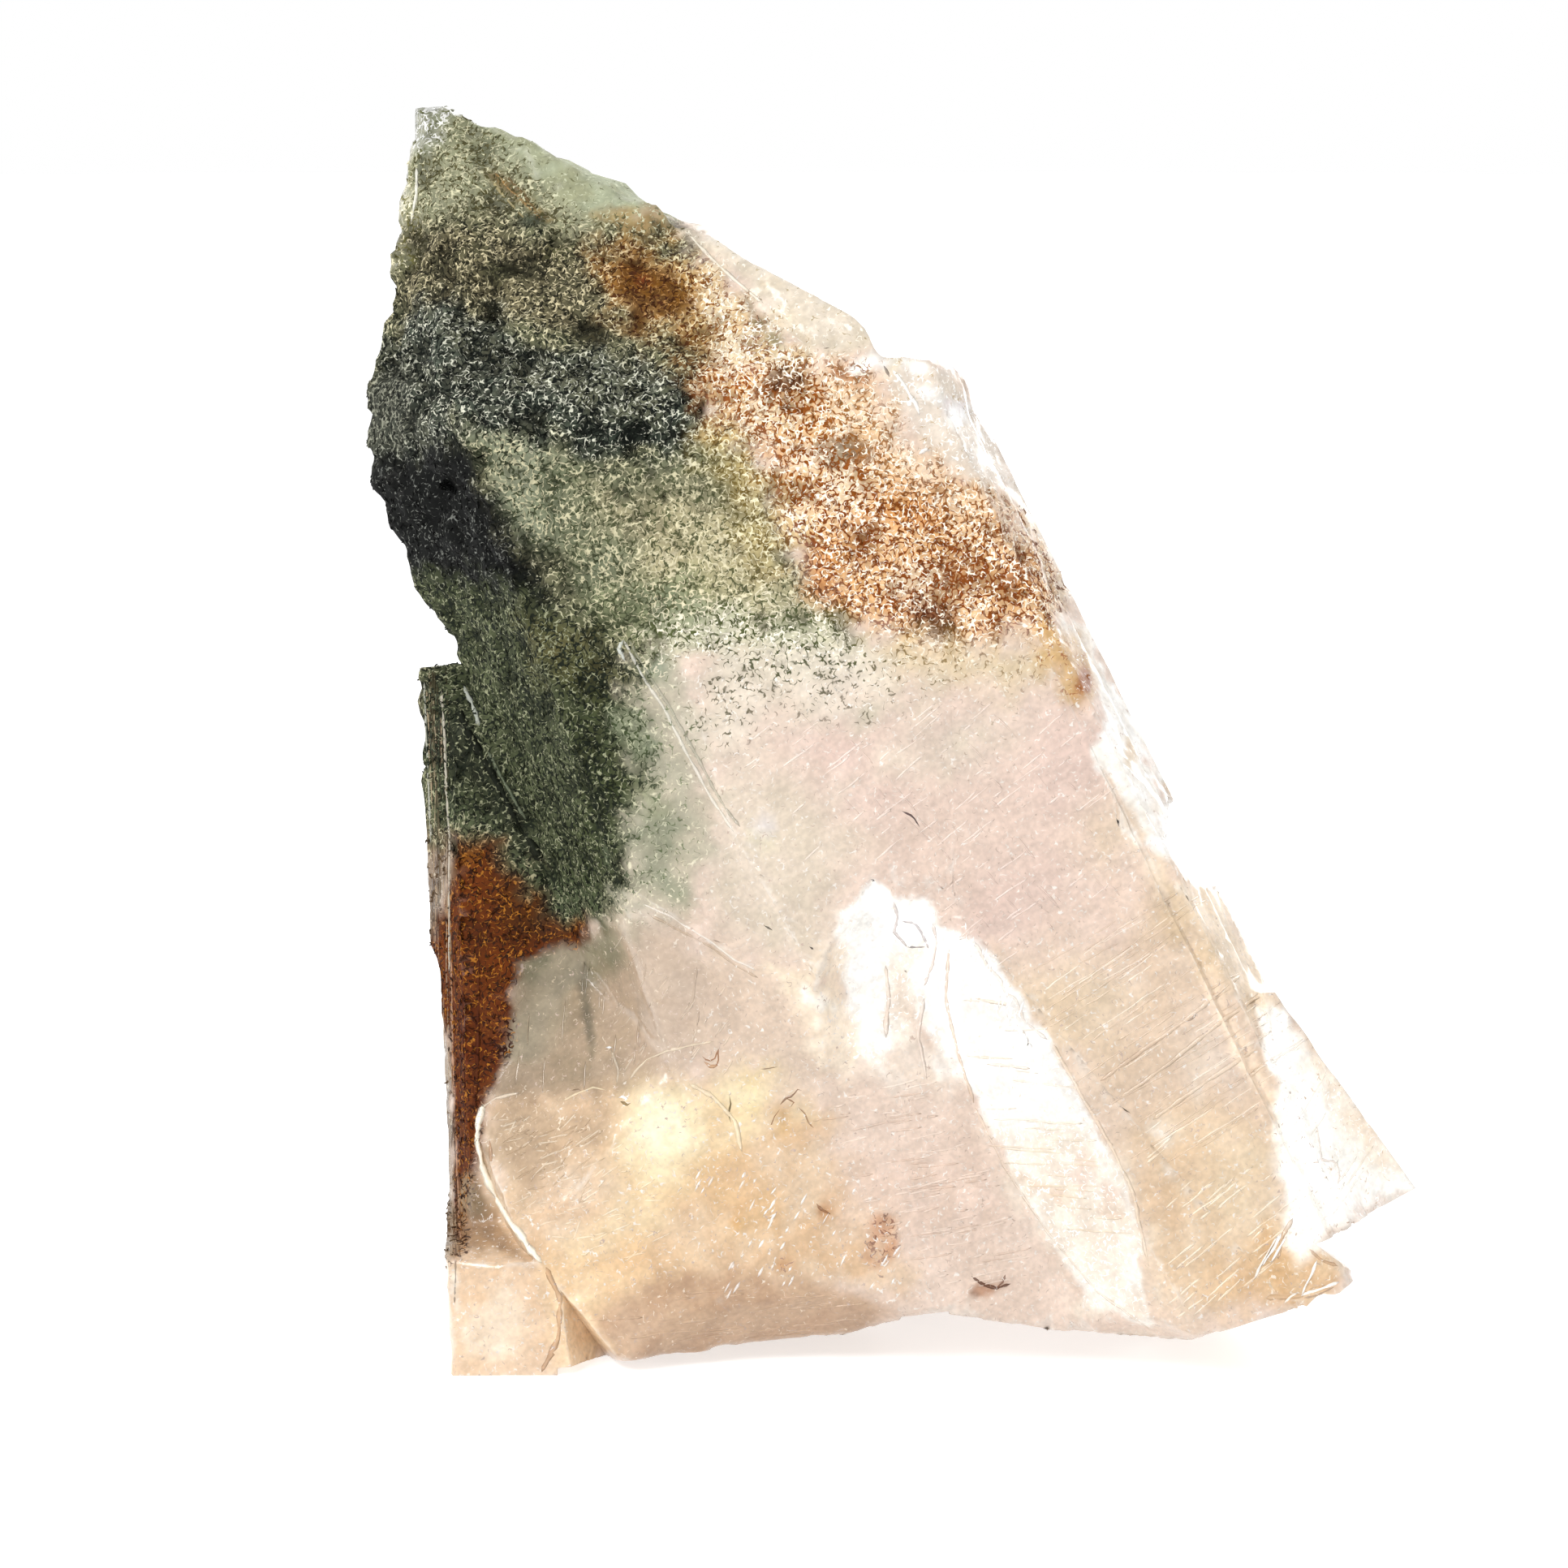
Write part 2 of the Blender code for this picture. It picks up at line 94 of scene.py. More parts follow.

# An edge sharper than this is a rim, where the stone is worn pale and given a painted highlight
RIM_ANGLE = math.radians(24)
RIM_WEAR_AND_HIGHLIGHT = 0.4

# An inward edge deeper than this is a valley, which the growth of the stone has partly filled
VALLEY_ANGLE = math.radians(6)
SOFTENING = 6
BROKEN_DEPTH = 12.0
SHARP_LEFT = -15.2   # the side crystal on the left of this keeps its edges

# What is lower than this rests on the floor and keeps its level, and what is softened lies above it
RESTING = 0.02
SOFTENED_FROM = 0.05

# The skin is smooth across an edge that is flatter than this
SHARP_ANGLE = math.radians(28)

# The curled grains of chlorite and of rust that stand on the skin
CURL_LENGTH = 0.42
CURL_THICKNESS = 0.11
CURL_SWEEPS = (1.2, 2.4, 3.9)
CURLS_PER_SQUARE_MM = 5.4

# They grow from the first of these painted shares on, and as thick as they can from the second. They are
# of rust where red is this many times green, and fewer on the skin that faces away from the eye
CURLS_FROM = (0.08, 0.42)
RUSTY = 2.1
FACING = 0.25
FEWER_BEHIND = 0.6

# Step along the fine lines that lie on the skin, and how far they waver
LINE_STEP = 0.3
LINE_WAVER = 0.06

LINE_WAVER_SIZE = 0.9

# How far every fine line at least stands up, how deep it is sunk, how wide a gap in it may be, and how
# much of the specks, flecks, grain and clearness of the skin it keeps
LEAST_RISE = 0.012
LINE_DEPTH = 0.1
WIDEST_GAP = 3 * LINE_STEP
LINE_SHARE = 0.4

# Swells of the skin, as layers of height, size in mm and seed: the crust's lumps, its pits, the faint
# waves of the plain faces, and how outlines wander
LUMPS = ((0.26, 2.8, 5), (0.24, 1.2, 6), (0.12, 0.6, 7))
PITS = ((1, 1.7, 9), (0.4, 0.7, 11))
WAVES = ((0.03, 3.2, 8), (0.02, 1.3, 10))
RAGGED_EDGE = ((0.9, 1.9, 3), (0.7, 0.8, 4))

# Strokes of the dark specks and of the light flecks: size of a line and of a patch, and a shift by which
# the two differ
SPECK_STROKES = (0.34, 0.34, 3.0)
FLECK_STROKES = (0.29, 0.28, 11.0)

# The light that quartz bends and takes up on its way through
QUARTZ_IOR = 1.54
TINT_INSIDE = (0.92, 0.86, 0.76, 1)
TINT_PER_METRE = 40.0

# Brightness of the white surroundings on the eye's side and behind the stone
FRONT_DIMNESS = 0.25
BACK_GLOW = 1.2

FLOOR_RADIUS = 2500.0

# Every tone is red, green and blue as they look on screen, 0 to 255, or more where they glare. This much
# of its brightness is the stone's own colour in this light
TONE_LEVEL = 0.79


@dataclass
class Zone:
    """One tint of the stone. What is left at None stays as the zones under it have it.

    The zones below give their two tones, cover and fade in this order, and the rest by name.
    """

    outline: list            # in the front view, mm across and up from the foot
    tone: tuple
    other_tone: tuple        # the two mottle into each other
    cover: float = 0.8       # how fully it hides what lies under it
    fade: float = 0.8        # width of its soft edge, mm
    ragged: float = 1.0      # how far its edge wanders, mm
    mottle: float = 1        # size of the mottling, mm
    flecks: tuple = None     # tone and share of the light flecks
    specks: tuple = None     # tone and share of the dark curls
    clear: float = None      # share of light let through
    rough: float = None
    grain: float = None      # height of its grain, as a share of the crust's


def stain(across, up, wide, tall, *looks, turn=0, **finish):
    """A small oval zone: its middle and half-sizes in mm, its turn in degrees, and a zone's looks."""
    turn = math.radians(turn)
    outline = [(across + wide * math.cos(a) * math.cos(turn) - tall * math.sin(a) * math.sin(turn),
                up + wide * math.cos(a) * math.sin(turn) + tall * math.sin(a) * math.cos(turn))
               for a in (i * math.pi / 8 for i in range(16))]
    return Zone(outline, *looks, **finish)


@dataclass
class Push:
    """A gentle shift of the skin near a line, all through the stone's depth, which shapes its outline."""

    line: list               # in the front view, mm
    shift: tuple             # across and up, mm
    reach: float             # how far from the line it fades out, mm


@dataclass
class Crease:
    """A fine line on the front skin: a crack's fill, a chipped edge, a growth line, or a painted highlight
    or painted shade along an edge.

    The creases below give their tone, cover and width in this order, and the rise by name.
    """

    line: list               # in the front view, mm
    tone: tuple
    cover: float = 0.7       # how much of its tone shows over the skin's
    width: float = 0.16      # half its width, mm
    rise: float = 0.015      # how far it stands up, mm


@dataclass
class Streaks:
    """Many fine lines that run alike over one part of the front skin."""

    outline: list            # in the front view, mm
    tone: tuple
    count: int
    turn: float              # degrees up from level
    shortest: float          # mm
    longest: float
    cover: float = 0.4
    width: float = 0.08
    rise: float = 0.012
    stray: float = 2.5       # how far single lines turn away, degrees


# The worn rims with their painted highlight, and the plain milk on which the zones are painted, with its
# flecks, specks and finish
PALE_AND_LIT_RIM_TONE = (255, 250, 242)
MILK = ((243, 221, 205), (236, 213, 196))
WHITE_FLECKS = (248, 240, 232, 0.1)
FINE_SPECKS = (206, 184, 170, 0.02)
PLAIN_FINISH = {"clear": 0.16, "rough": 0.38, "grain": 0.12}
MOTTLE_SIZES = (1, 1.4, 2, 3)
ZONES = []

# Tints of the milky body, below the chlorite
ZONES += [
    # pink-beige milk through the whole body is the stone's own ground; rosier in the middle
    Zone([(-10.3, 36.2), (-2.2, 37.5), (8.9, 37.9), (13.4, 33.5), (15.2, 26.8), (15.2, 20.5), (6.7, 21.9),
          (0.9, 26.8), (-4.5, 27.2), (-8.9, 30.8)], (235, 210, 195), (240, 217, 202), 0.8, 3, ragged=1.2,
          mottle=3),
    stain(10, 34.4, 2.7, 2.2, (224, 196, 186), (232, 206, 194), 0.7, 2.2, turn=30, ragged=1.2, mottle=2),
    stain(-2.2, 33.5, 3.1, 2.2, (232, 203, 190), (240, 214, 202), 0.7, 2, turn=-30, ragged=1.4, mottle=1.4),
    stain(6.2, 25.9, 3.1, 2.1, (226, 198, 186), (236, 210, 198), 0.65, 2.2, turn=40, ragged=1.4, mottle=2),
    stain(2.2, 28.6, 2.1, 2.7, (228, 203, 186), (238, 214, 198), 0.6, 1.8, turn=20, ragged=1.4, mottle=1.4),
    Zone([(-9.4, 34.4), (-4.5, 33), (-1.8, 29.5), (-3.6, 25.9), (-3.6, 22.8), (-7.1, 23.2), (-9.8, 25.9),
          (-10.7, 31.3)], (222, 210, 188), (234, 220, 200), 0.75, 2, ragged=1.3, mottle=1.4),
    stain(2.7, 34.4, 2.2, 1.1, (222, 212, 190), (232, 218, 200), 0.6, 1.6, turn=10, ragged=1.2),
    stain(5.1, 35.5, 1.8, 0.9, (220, 210, 186), (232, 218, 200), 0.5, 1.4, turn=10, ragged=1.2,
          specks=(150, 146, 112, 0.1)),
    stain(12.5, 30.4, 1.6, 2.2, (238, 216, 188), (230, 206, 176), 0.7, 1.8, turn=-20, ragged=1.2,
          mottle=1.4),
    stain(9.4, 24.1, 2.7, 1.3, (246, 222, 204), (240, 216, 196), 0.6, 1.6, turn=33, ragged=1.2),
    stain(-1.1, 33.3, 2.2, 0.6, (250, 236, 216), (244, 226, 206), 0.55, 0.9, turn=30, ragged=1.2),
    # tan body at the right
    Zone([(14.3, 28.6), (18.8, 27.7), (22.3, 20.1), (25, 6.2), (14.3, 2.2), (10.7, 13.4), (6.2, 21.9),
          (12.5, 23.2)], (239, 213, 186), (244, 221, 198), 0.9, 2.2, ragged=1.2, clear=0.2, rough=0.3,
          mottle=3),
    Zone([(6.2, 22.3), (11.2, 23.2), (13.4, 21), (11.6, 17.9), (8.5, 18.3)], (246, 224, 192),
          (240, 216, 182), 0.6, 1.8, mottle=2),
    Zone([(13.4, 13.4), (17, 15.6), (20.5, 12.5), (22.3, 6.2), (17, 3.6), (14.3, 6.2)], (243, 212, 172),
          (250, 226, 194), 0.7, 1.8, ragged=1.2, mottle=2),
    stain(17.9, 18.3, 2.7, 1.8, (240, 218, 200), (232, 208, 190), 0.7, 1.6, turn=33, ragged=1.2,
          mottle=1.4),
    stain(14.3, 17.4, 2.7, 1.1, (226, 200, 172), (234, 210, 184), 0.65, 1.4, turn=33, ragged=1.2,
          mottle=1.4),
    stain(15.2, 9.8, 2.2, 1.8, (230, 196, 158), (240, 210, 174), 0.75, 1.6, turn=40, ragged=1.4,
          mottle=1.4),
    stain(17.2, 17.4, 0.6, 2, (256, 244, 228), (246, 228, 208), 0.55, turn=-12, ragged=1.2),
    stain(15.2, 13.4, 1.2, 0.4, (272, 266, 256), (250, 232, 208), 0.7, 0.5, turn=10, ragged=1.2),
    stain(19.6, 5.6, 2.7, 2, (244, 206, 160), (236, 194, 146), 0.75, 1.2, turn=20, ragged=1.2, mottle=1.4),
    stain(19.2, 11.2, 1.8, 2.7, (252, 232, 200), (246, 222, 188), 0.65, 1.4, turn=-20, ragged=1.2,
          mottle=1.4),
    # tan fractured foot at the left
    Zone([(-22.7, 15.6), (-15.2, 17), (-8.9, 16.1), (-4.5, 14.7), (0.4, 6.2), (-4.5, 4.5), (-12.1, 3.6),
          (-18.3, 1.6), (-24.1, -0.5), (-24.8, 6.2), (-22.3, 11.6)], (230, 194, 152), (238, 208, 170), 0.85,
          1.4, ragged=1.3, clear=0.15, rough=0.35, mottle=2),
    Zone([(-10.7, 16.1), (-4.5, 15.2), (-1.8, 9.8), (0.9, 5.4), (-4.5, 5.4), (-8.9, 9.8), (-11.6, 13.4)],
          (230, 194, 154), (240, 212, 180), 0.8, 1.4, ragged=1.2, mottle=2),
    Zone([(-9.8, 24.1), (-4.5, 22.3), (-2.7, 17.9), (-1.8, 16.1), (-5.4, 14.7), (-9.8, 16.1),
          (-10.7, 20.1)], (236, 213, 190), (228, 205, 182), 0.75, 1.2, clear=0.2, mottle=2),
    # warm glow where light pools in the foot
    Zone([(-14.7, 16.5), (-10.3, 16.1), (-6.2, 16.5), (-5.1, 14.7), (-8.9, 12.5), (-10.7, 10.3),
          (-13.8, 8.9), (-16.1, 6.2), (-18.3, 6.2), (-16.5, 9.8), (-15.2, 13.4)], (252, 230, 184),
          (246, 218, 170), 0.7, 1.4, ragged=1.3, mottle=1.4),
    stain(-12.7, 13.8, 2.2, 2, (276, 270, 238), (262, 250, 212), 0.9, 1.3, turn=-20, ragged=1.2,
          clear=0.15),
    stain(-7.8, 15.8, 1.5, 1.2, (262, 248, 206), (250, 226, 170), ragged=1.2),
    stain(-21.1, 12.7, 1.1, 1.8, (196, 174, 144), (224, 200, 170), 0.85, 0.7, turn=-20, ragged=1.2),
    stain(-19.5, 13.8, 1.5, 0.7, (206, 184, 154), (228, 204, 174), 0.7, 0.7, turn=20, ragged=1.2),
    stain(-17.3, 10.3, 2.4, 2.2, (246, 222, 196), (236, 206, 176), 0.7, 1.2, turn=20, ragged=1.4),
    stain(-8.7, 10.3, 3.1, 1.8, (236, 198, 148), (228, 188, 140), 0.7, 1.6, turn=-30, ragged=1.4,
          mottle=1.4),
    stain(-8.7, 8.9, 0.5, 0.4, (222, 170, 100), (236, 196, 140), 0.8, 0.4, ragged=0.6),
    stain(2.2, 10.3, 4.9, 3.1, (240, 214, 198), (234, 206, 186), 0.6, 2.2, turn=10, ragged=1.4, mottle=1.4),
    Zone([(-19.1, 6.2), (-14.3, 7.1), (-10.7, 6), (-12.1, 5.1), (-14.3, 4.5), (-17, 2.2), (-18.3, 0.9),
          (-19.2, 2.7)], (252, 218, 172), (246, 206, 156), 0.75, 0.9, ragged=0.9, mottle=1.4),
    stain(-17.2, 4.6, 0.6, 0.6, (276, 258, 224), (262, 238, 196), 0.8, 0.6, ragged=0.8),
    # smooth shaded scoop under the foot
    Zone([(-18.3, 1.4), (-15.8, 3.9), (-13.8, 5.4), (-12.1, 5.9), (-8.9, 6.1), (-4.5, 5.6), (-1.8, 4.8),
          (0, 3.6), (-2.2, 2.2), (-10.3, 1.1)], (194, 158, 126), (206, 172, 140), 0.9, 0.5, ragged=0.4,
          flecks=(240, 220, 196, 0.04), rough=0.3, mottle=2),
    # brown rosette and stained cracks of the foot
    stain(-0.6, 7.6, 1, 1.1, (214, 158, 118), (234, 194, 160), 0.8, 0.4, ragged=0.7,
          specks=(140, 82, 46, 0.4)),
    stain(-6.2, 6.2, 0.6, 0.4, (206, 157, 108), (196, 143, 93), 0.7, 0.3, ragged=0.4,
          specks=(150, 88, 46, 0.3)),
    stain(5.4, 5.2, 1.2, 0.3, (176, 121, 82), (140, 90, 55), 0.75, 0.25, turn=14, ragged=0.4),
    stain(-3.8, 9.4, 0.5, 0.4, (204, 147, 95), (188, 127, 79), 0.7, 0.25, ragged=0.4),
    stain(-6.2, 15, 0.4, 1.2, (196, 147, 90), (216, 172, 110), 0.6, 0.3, turn=20, ragged=0.6),
    # pale green veil between the green side and the milk
    Zone([(-16.1, 41.1), (-12.1, 40.2), (-10.2, 35.7), (-10.4, 31.3), (-10, 28.6), (-11.2, 25.4),
          (-15.2, 24.6), (-17.9, 26.3), (-17, 29.5), (-16.5, 33.5), (-16.5, 37.5)], (206, 198, 174),
          (190, 188, 164), 0.85, 1.2, ragged=1.3, flecks=(236, 228, 195, 0.2), specks=(112, 129, 93, 0.12),
          clear=0.25, rough=0.35, mottle=2),
    stain(-13.5, 39.6, 1.1, 1, (176, 190, 164), (160, 176, 150), 0.8, 0.5, turn=-30, ragged=0.6, clear=0.4,
          rough=0.2),
    # clear grey-green window low on the left
    Zone([(-20.2, 23.4), (-17.9, 24.1), (-15.2, 25), (-11.2, 25), (-9.8, 22.3), (-10.3, 18.3),
          (-14.3, 16.3), (-18.8, 15.8), (-22.3, 15.6), (-21.7, 17.4), (-20.2, 19.2)], (200, 174, 146),
          (188, 164, 134), 0.9, 1.8, ragged=1.2, flecks=(228, 208, 184, 0.06), clear=0.3, rough=0.15,
          mottle=1.4),
    Zone([(-13.8, 24.6), (-9.4, 22.8), (-7.1, 19.6), (-8.9, 17), (-12.5, 17), (-14.3, 20.1)],
          (216, 192, 170), (226, 202, 180), 0.7, 1.8, ragged=1.3, mottle=1.4),
    Zone([(-20.3, 23.3), (-16, 24.6), (-15.7, 22.3), (-17.9, 18.3), (-20, 17.4), (-21.1, 19.6)],
          (152, 136, 106), (170, 152, 122), 0.75, ragged=0.8, flecks=(184, 168, 140, 0.03), clear=0.35,
          rough=0.12, mottle=1.4),
    Zone([(-18.8, 23.9), (-15.8, 25), (-14.5, 24.6), (-15.2, 22.8), (-17.9, 21.7), (-19.4, 21.2),
          (-19.9, 23)], (112, 116, 88), (136, 136, 108), 0.8, 1, ragged=0.8),
    Zone([(-17.2, 24.6), (-16.8, 24.6), (-16.5, 22.3), (-16.3, 18.3), (-16.6, 16.9), (-16.7, 18.3),
          (-17, 21.9)], (112, 104, 84), (132, 122, 100), 0.85, 0.12, ragged=0.08),
    Zone([(-15.4, 18.3), (-15, 18.2), (-14.6, 15.8), (-15, 15.8)], (150, 134, 112), (166, 148, 126), 0.6,
          0.25, ragged=0.15),
    Zone([(-22.3, 17.9), (-17.9, 19.2), (-15.2, 16.5), (-17.9, 15.6), (-22.3, 15.4)], (172, 152, 124),
          (190, 168, 142), 0.8, 0.7, ragged=0.8, flecks=(196, 178, 152, 0.03), clear=0.3, rough=0.12,
          mottle=1.4),
    # ochre and red-brown stain of the side crystal
    Zone([(-24.5, 31.7), (-22.3, 31.3), (-19.6, 29.9), (-16.9, 27.2), (-16.6, 24.1), (-17.9, 23.6),
          (-19.9, 22.8), (-20.1, 21), (-20.5, 18.3), (-21.8, 16.1), (-22.3, 14.7), (-22.9, 11.6),
          (-23.5, 7.1), (-24.3, 6.2), (-24.5, 17.9)], (102, 46, 0), (82, 36, 0), 1, 0.35, ragged=0.45,
          flecks=(170, 108, 34, 0.2), specks=(48, 20, 0, 0.34), clear=0, rough=0.7, grain=0.25, mottle=1.4),
    Zone([(-22.3, 26.8), (-20.1, 28.1), (-16.9, 26.1), (-16.7, 24.3), (-18.8, 24.1), (-20.5, 24.6)],
          (88, 46, 6), (74, 38, 4), 0.8, 0.6, ragged=0.6),
    Zone([(-24.3, 22.3), (-22.3, 21.4), (-20.5, 20.5), (-20.7, 18.3), (-22.1, 15.8), (-22.8, 11.6),
          (-23.5, 7.1), (-24.3, 6.5)], (90, 36, 2), (106, 52, 14), 0.8, 0.5, ragged=0.5,
          specks=(52, 20, 8, 0.36)),
    Zone([(-23.8, 11.1), (-23, 11.2), (-21.8, 8.9), (-20.4, 6.9), (-19.6, 6), (-22.3, 6.2), (-24, 6.2)],
          (176, 140, 104), (150, 120, 92), 0.85, 0.4, ragged=0.4),
    Zone([(-23.8, 10.8), (-23, 11), (-22.1, 9.1), (-22.3, 8.4), (-23.6, 8.5)], (140, 124, 98),
          (156, 134, 108), 0.8, 0.4, ragged=0.3),
    stain(-23, 28.8, 1.1, 0.7, (132, 80, 18), (116, 68, 16), 0.7, 0.5, ragged=0.6),
    # narrow outer face of the side crystal
    Zone([(-26.8, 39.5), (-24.1, 39.3), (-24.3, 35.7), (-24.3, 29.9), (-24.5, 17.9), (-24.3, 6.2),
          (-25, 6.2), (-26.1, 17.9), (-26.6, 31.3)], (120, 96, 70), (150, 126, 98), 1, 0.2, ragged=0.2,
          flecks=(190, 174, 150, 0.18), specks=(84, 64, 44, 0.24), clear=0.12, rough=0.2, grain=0.1,
          mottle=1.4),
    Zone([(-26.6, 39.5), (-24.1, 39.5), (-23.7, 37.9), (-24.6, 36.6), (-26.1, 37.1)], (78, 86, 68),
          (104, 107, 86), 0.9, 0.5, ragged=0.5, flecks=(150, 151, 126, 0.25)),
    # block at the lower left corner
    Zone([(-24.8, 6.5), (-22.3, 7.1), (-19.9, 6.2), (-18.3, 2.7), (-18.8, 0), (-24.8, -0.9)],
          (246, 216, 184), (240, 206, 170), 0.85, 0.4, ragged=0.5, clear=0.2, rough=0.3, mottle=2),
    # painted highlights on the block: a pale patch and a thin white line down its left edge
    stain(-21.8, 3.1, 1.5, 1.5, (270, 254, 232), (252, 232, 206), ragged=1.2),
    stain(-24.1, 5.1, 0.2, 1.3, (274, 270, 262), (256, 244, 226), 0.8, 0.25, turn=8, ragged=0.5),
    # painted highlight of the lens face and the chips beside it, blown white in most places
    Zone([(2.2, 24.9), (3.8, 24.6), (6.2, 22.3), (8.5, 18.8), (11.2, 13.8), (13.4, 9.4), (14.4, 2.6),
          (10.7, 4.2), (7.8, 8.9), (5.6, 13.4), (4, 16.5), (3.2, 20.1)], (268, 266, 262), (258, 253, 246),
          1, 0.18, ragged=0.4, flecks=(276, 274, 270, 0.2), specks=(240, 224, 204, 0.04), clear=0.12,
          rough=0.25, grain=0.1),
    Zone([(5.6, 13.4), (9.4, 14.3), (12.5, 11.6), (13.6, 8.9), (14.3, 2.7), (10.7, 4.2), (7.8, 8.9)],
          (256, 246, 228), (244, 226, 206), 0.85, 1.2, ragged=1.2),
    Zone([(6.9, 11.2), (8.9, 10.4), (11.2, 10.6), (13.4, 8.9), (13.6, 8), (10.7, 9.8), (8.9, 9.6)],
          (236, 208, 184), (256, 242, 222), 0.75, 0.3),
    Zone([(10.3, 12.3), (11.2, 11.6), (10.3, 10.9), (9.6, 10.3), (10, 11.2)], (240, 214, 196),
          (252, 236, 220), 0.7, 0.3, ragged=0.8),
    stain(10.7, 10.7, 2.7, 0.4, (240, 218, 204), (252, 240, 228), 0.6, 0.5, turn=-20),
    stain(12.1, 6.2, 1.1, 1.3, (244, 226, 210), (252, 242, 230), 0.6, 0.7, ragged=0.8),
    Zone([(-3.3, 22.8), (-2.7, 25.4), (-1.1, 27.4), (0, 26.6), (1.8, 26.4), (3, 24.6), (3.6, 20.1),
          (2.9, 17.9), (0.9, 20.5), (0, 18.3), (-0.9, 17.4), (-2.2, 18.3)], (280, 279, 276),
          (272, 270, 264), 0.95, 0.3, ragged=0.5, clear=0.06, rough=0.2, grain=0.16,
          specks=(250, 240, 230, 0.02), flecks=(282, 281, 279, 0.2)),
    Zone([(-0.4, 23.7), (1.3, 23.9), (1.9, 22.3), (1.4, 18.8), (0, 17.9), (-0.7, 20.1)], (250, 238, 222),
          (240, 222, 206), 0.85, 0.5, ragged=0.8),
    stain(0.5, 21.2, 0.6, 1.1, (232, 208, 186), (242, 222, 200), 0.7, 0.5, turn=8, ragged=0.6),
    Zone([(-2.5, 19.2), (0, 18.3), (2.7, 18.8), (3.7, 16.5), (2.2, 15.8), (0, 16.1), (-1.8, 16.5)],
          (262, 250, 236), (248, 232, 214), 0.7, 0.9, ragged=1.2),
    stain(2.9, 18.3, 0.6, 1.6, (278, 274, 268), (256, 246, 236), 0.75, 0.4, turn=10, ragged=0.9),
    stain(2.6, 22.8, 0.5, 1.8, (280, 277, 272), (262, 252, 244), 0.8, 0.4, turn=-6, ragged=0.9),
    # bright veils
    stain(-7.4, 29.7, 1.3, 0.6, (252, 245, 244), (246, 235, 206), 0.7, 0.6, turn=-40),
    Zone([(-6.7, 22.8), (-3.1, 22.8), (-2.3, 17.9), (-3.6, 17.4), (-5.1, 20.5)], (262, 244, 218),
          (250, 230, 202), 0.8, 0.7, ragged=1.1),
    Zone([(-4.1, 23.9), (-2.5, 23.7), (-2.1, 18.3), (-3, 16.1), (-3.9, 18.3)], (272, 256, 234),
          (262, 242, 218), 0.85, 0.6, ragged=0.8),
    stain(-4.1, 21.1, 0.9, 0.5, (280, 274, 264), (262, 248, 226), 0.85, 0.4, turn=-50, ragged=0.9),
    # narrow clear face high on the right, with white blotches that are painted highlights
    Zone([(-0.9, 56.9), (1.3, 56.5), (3.3, 55.4), (5.1, 52.2), (6.7, 49.1), (4.5, 49.1), (1.8, 51.3),
          (0, 54)], (240, 224, 206), (246, 232, 216), 1, 0.4, ragged=0.5, flecks=(272, 270, 266, 0.2),
          specks=(200, 178, 146, 0.08), clear=0.18, rough=0.15, grain=0.1, mottle=1.4),
    stain(3, 53.6, 0.9, 0.6, (255, 254, 252), (255, 245, 246), 0.9, 0.3, turn=-30, ragged=0.8),
    stain(-0.4, 55.9, 0.9, 0.7, (255, 253, 250), (250, 235, 206), 0.85, 0.4, ragged=0.7),
    # painted highlights along the right edges, blown white, with small tan and brown marks among them
    Zone([(6.2, 49.1), (7.2, 49.1), (10.3, 43.1), (8.9, 42.6), (7.2, 46.4)], (262, 256, 246),
          (254, 240, 214), 0.8, 0.4, ragged=0.6, clear=0.15, rough=0.2),
    Zone([(8.9, 42.6), (10.5, 41.5), (11.2, 40.2), (12.1, 38.8), (15.4, 32.4), (15.4, 29), (13.4, 29.5),
          (12.1, 32.1), (11.2, 34.4), (11.7, 35.7), (11.2, 37.9), (9.4, 40)], (274, 272, 268),
          (262, 256, 246), 1, 0.25, ragged=0.9, clear=0.15, rough=0.2, grain=0.1),
    stain(13.1, 34.5, 0.3, 0.7, (220, 186, 141), (236, 210, 170), 0.75, 0.25, ragged=0.4),
    Zone([(11.6, 33.5), (12.1, 33.1), (13.4, 31.3), (14.3, 29.9), (13.9, 29.6), (12.9, 30.8)],
          (222, 190, 156), (236, 208, 178), 0.8, 0.3, ragged=0.5),
    Zone([(14.8, 32.8), (15.2, 32.9), (15.5, 32.1), (15.3, 31.9)], (214, 178, 142), (228, 196, 162), 0.8,
          0.2, ragged=0.3),
    stain(14.3, 31.3, 0.4, 0.7, (238, 214, 186), (250, 232, 210), 0.6, 0.3, turn=-20, ragged=0.5),
    Zone([(20.5, 20.3), (21.7, 19.9), (24.1, 16.5), (22.3, 16.5), (23, 12.5), (24.6, 8.9), (22.8, 8.5),
          (21.9, 12.5), (21.1, 16.5)], (276, 275, 272), (270, 266, 258), 1, 0.3, ragged=0.5, clear=0.12,
          rough=0.2),
    Zone([(13.4, 29.5), (15.6, 27.7), (18.1, 27), (21.1, 20.5), (19.6, 19.6), (17.4, 22.8), (15.2, 26.3)],
          (262, 244, 220), (252, 230, 202), 0.9, 0.6, ragged=0.8, clear=0.05, mottle=1.4),
    Zone([(20.2, 20.5), (21.7, 20.3), (22.1, 17.9), (23.4, 14.3), (24.1, 11.6), (22.9, 9.8), (21.9, 11.6),
          (21.2, 15.8), (20.4, 18.3)], (286, 283, 278), (280, 276, 268), 0.95, 0.25, ragged=0.5,
          clear=0.03),
    # the wedge crystal at the lower right
    Zone([(22.3, 17.9), (24.1, 17), (28.8, 10.5), (25, 8.7), (23.7, 11.2), (22.8, 14.3)], (280, 276, 266),
          (286, 284, 278), 0.95, 0.4, ragged=0.5, flecks=(288, 286, 282, 0.12),
          specks=(226, 196, 166, 0.02), clear=0.1, rough=0.25, mottle=1.4),
    Zone([(22.3, 19.2), (23.4, 18.3), (26.8, 13.8), (27.8, 11.6), (26.3, 11.6), (24.1, 14.7), (22.6, 17.4)],
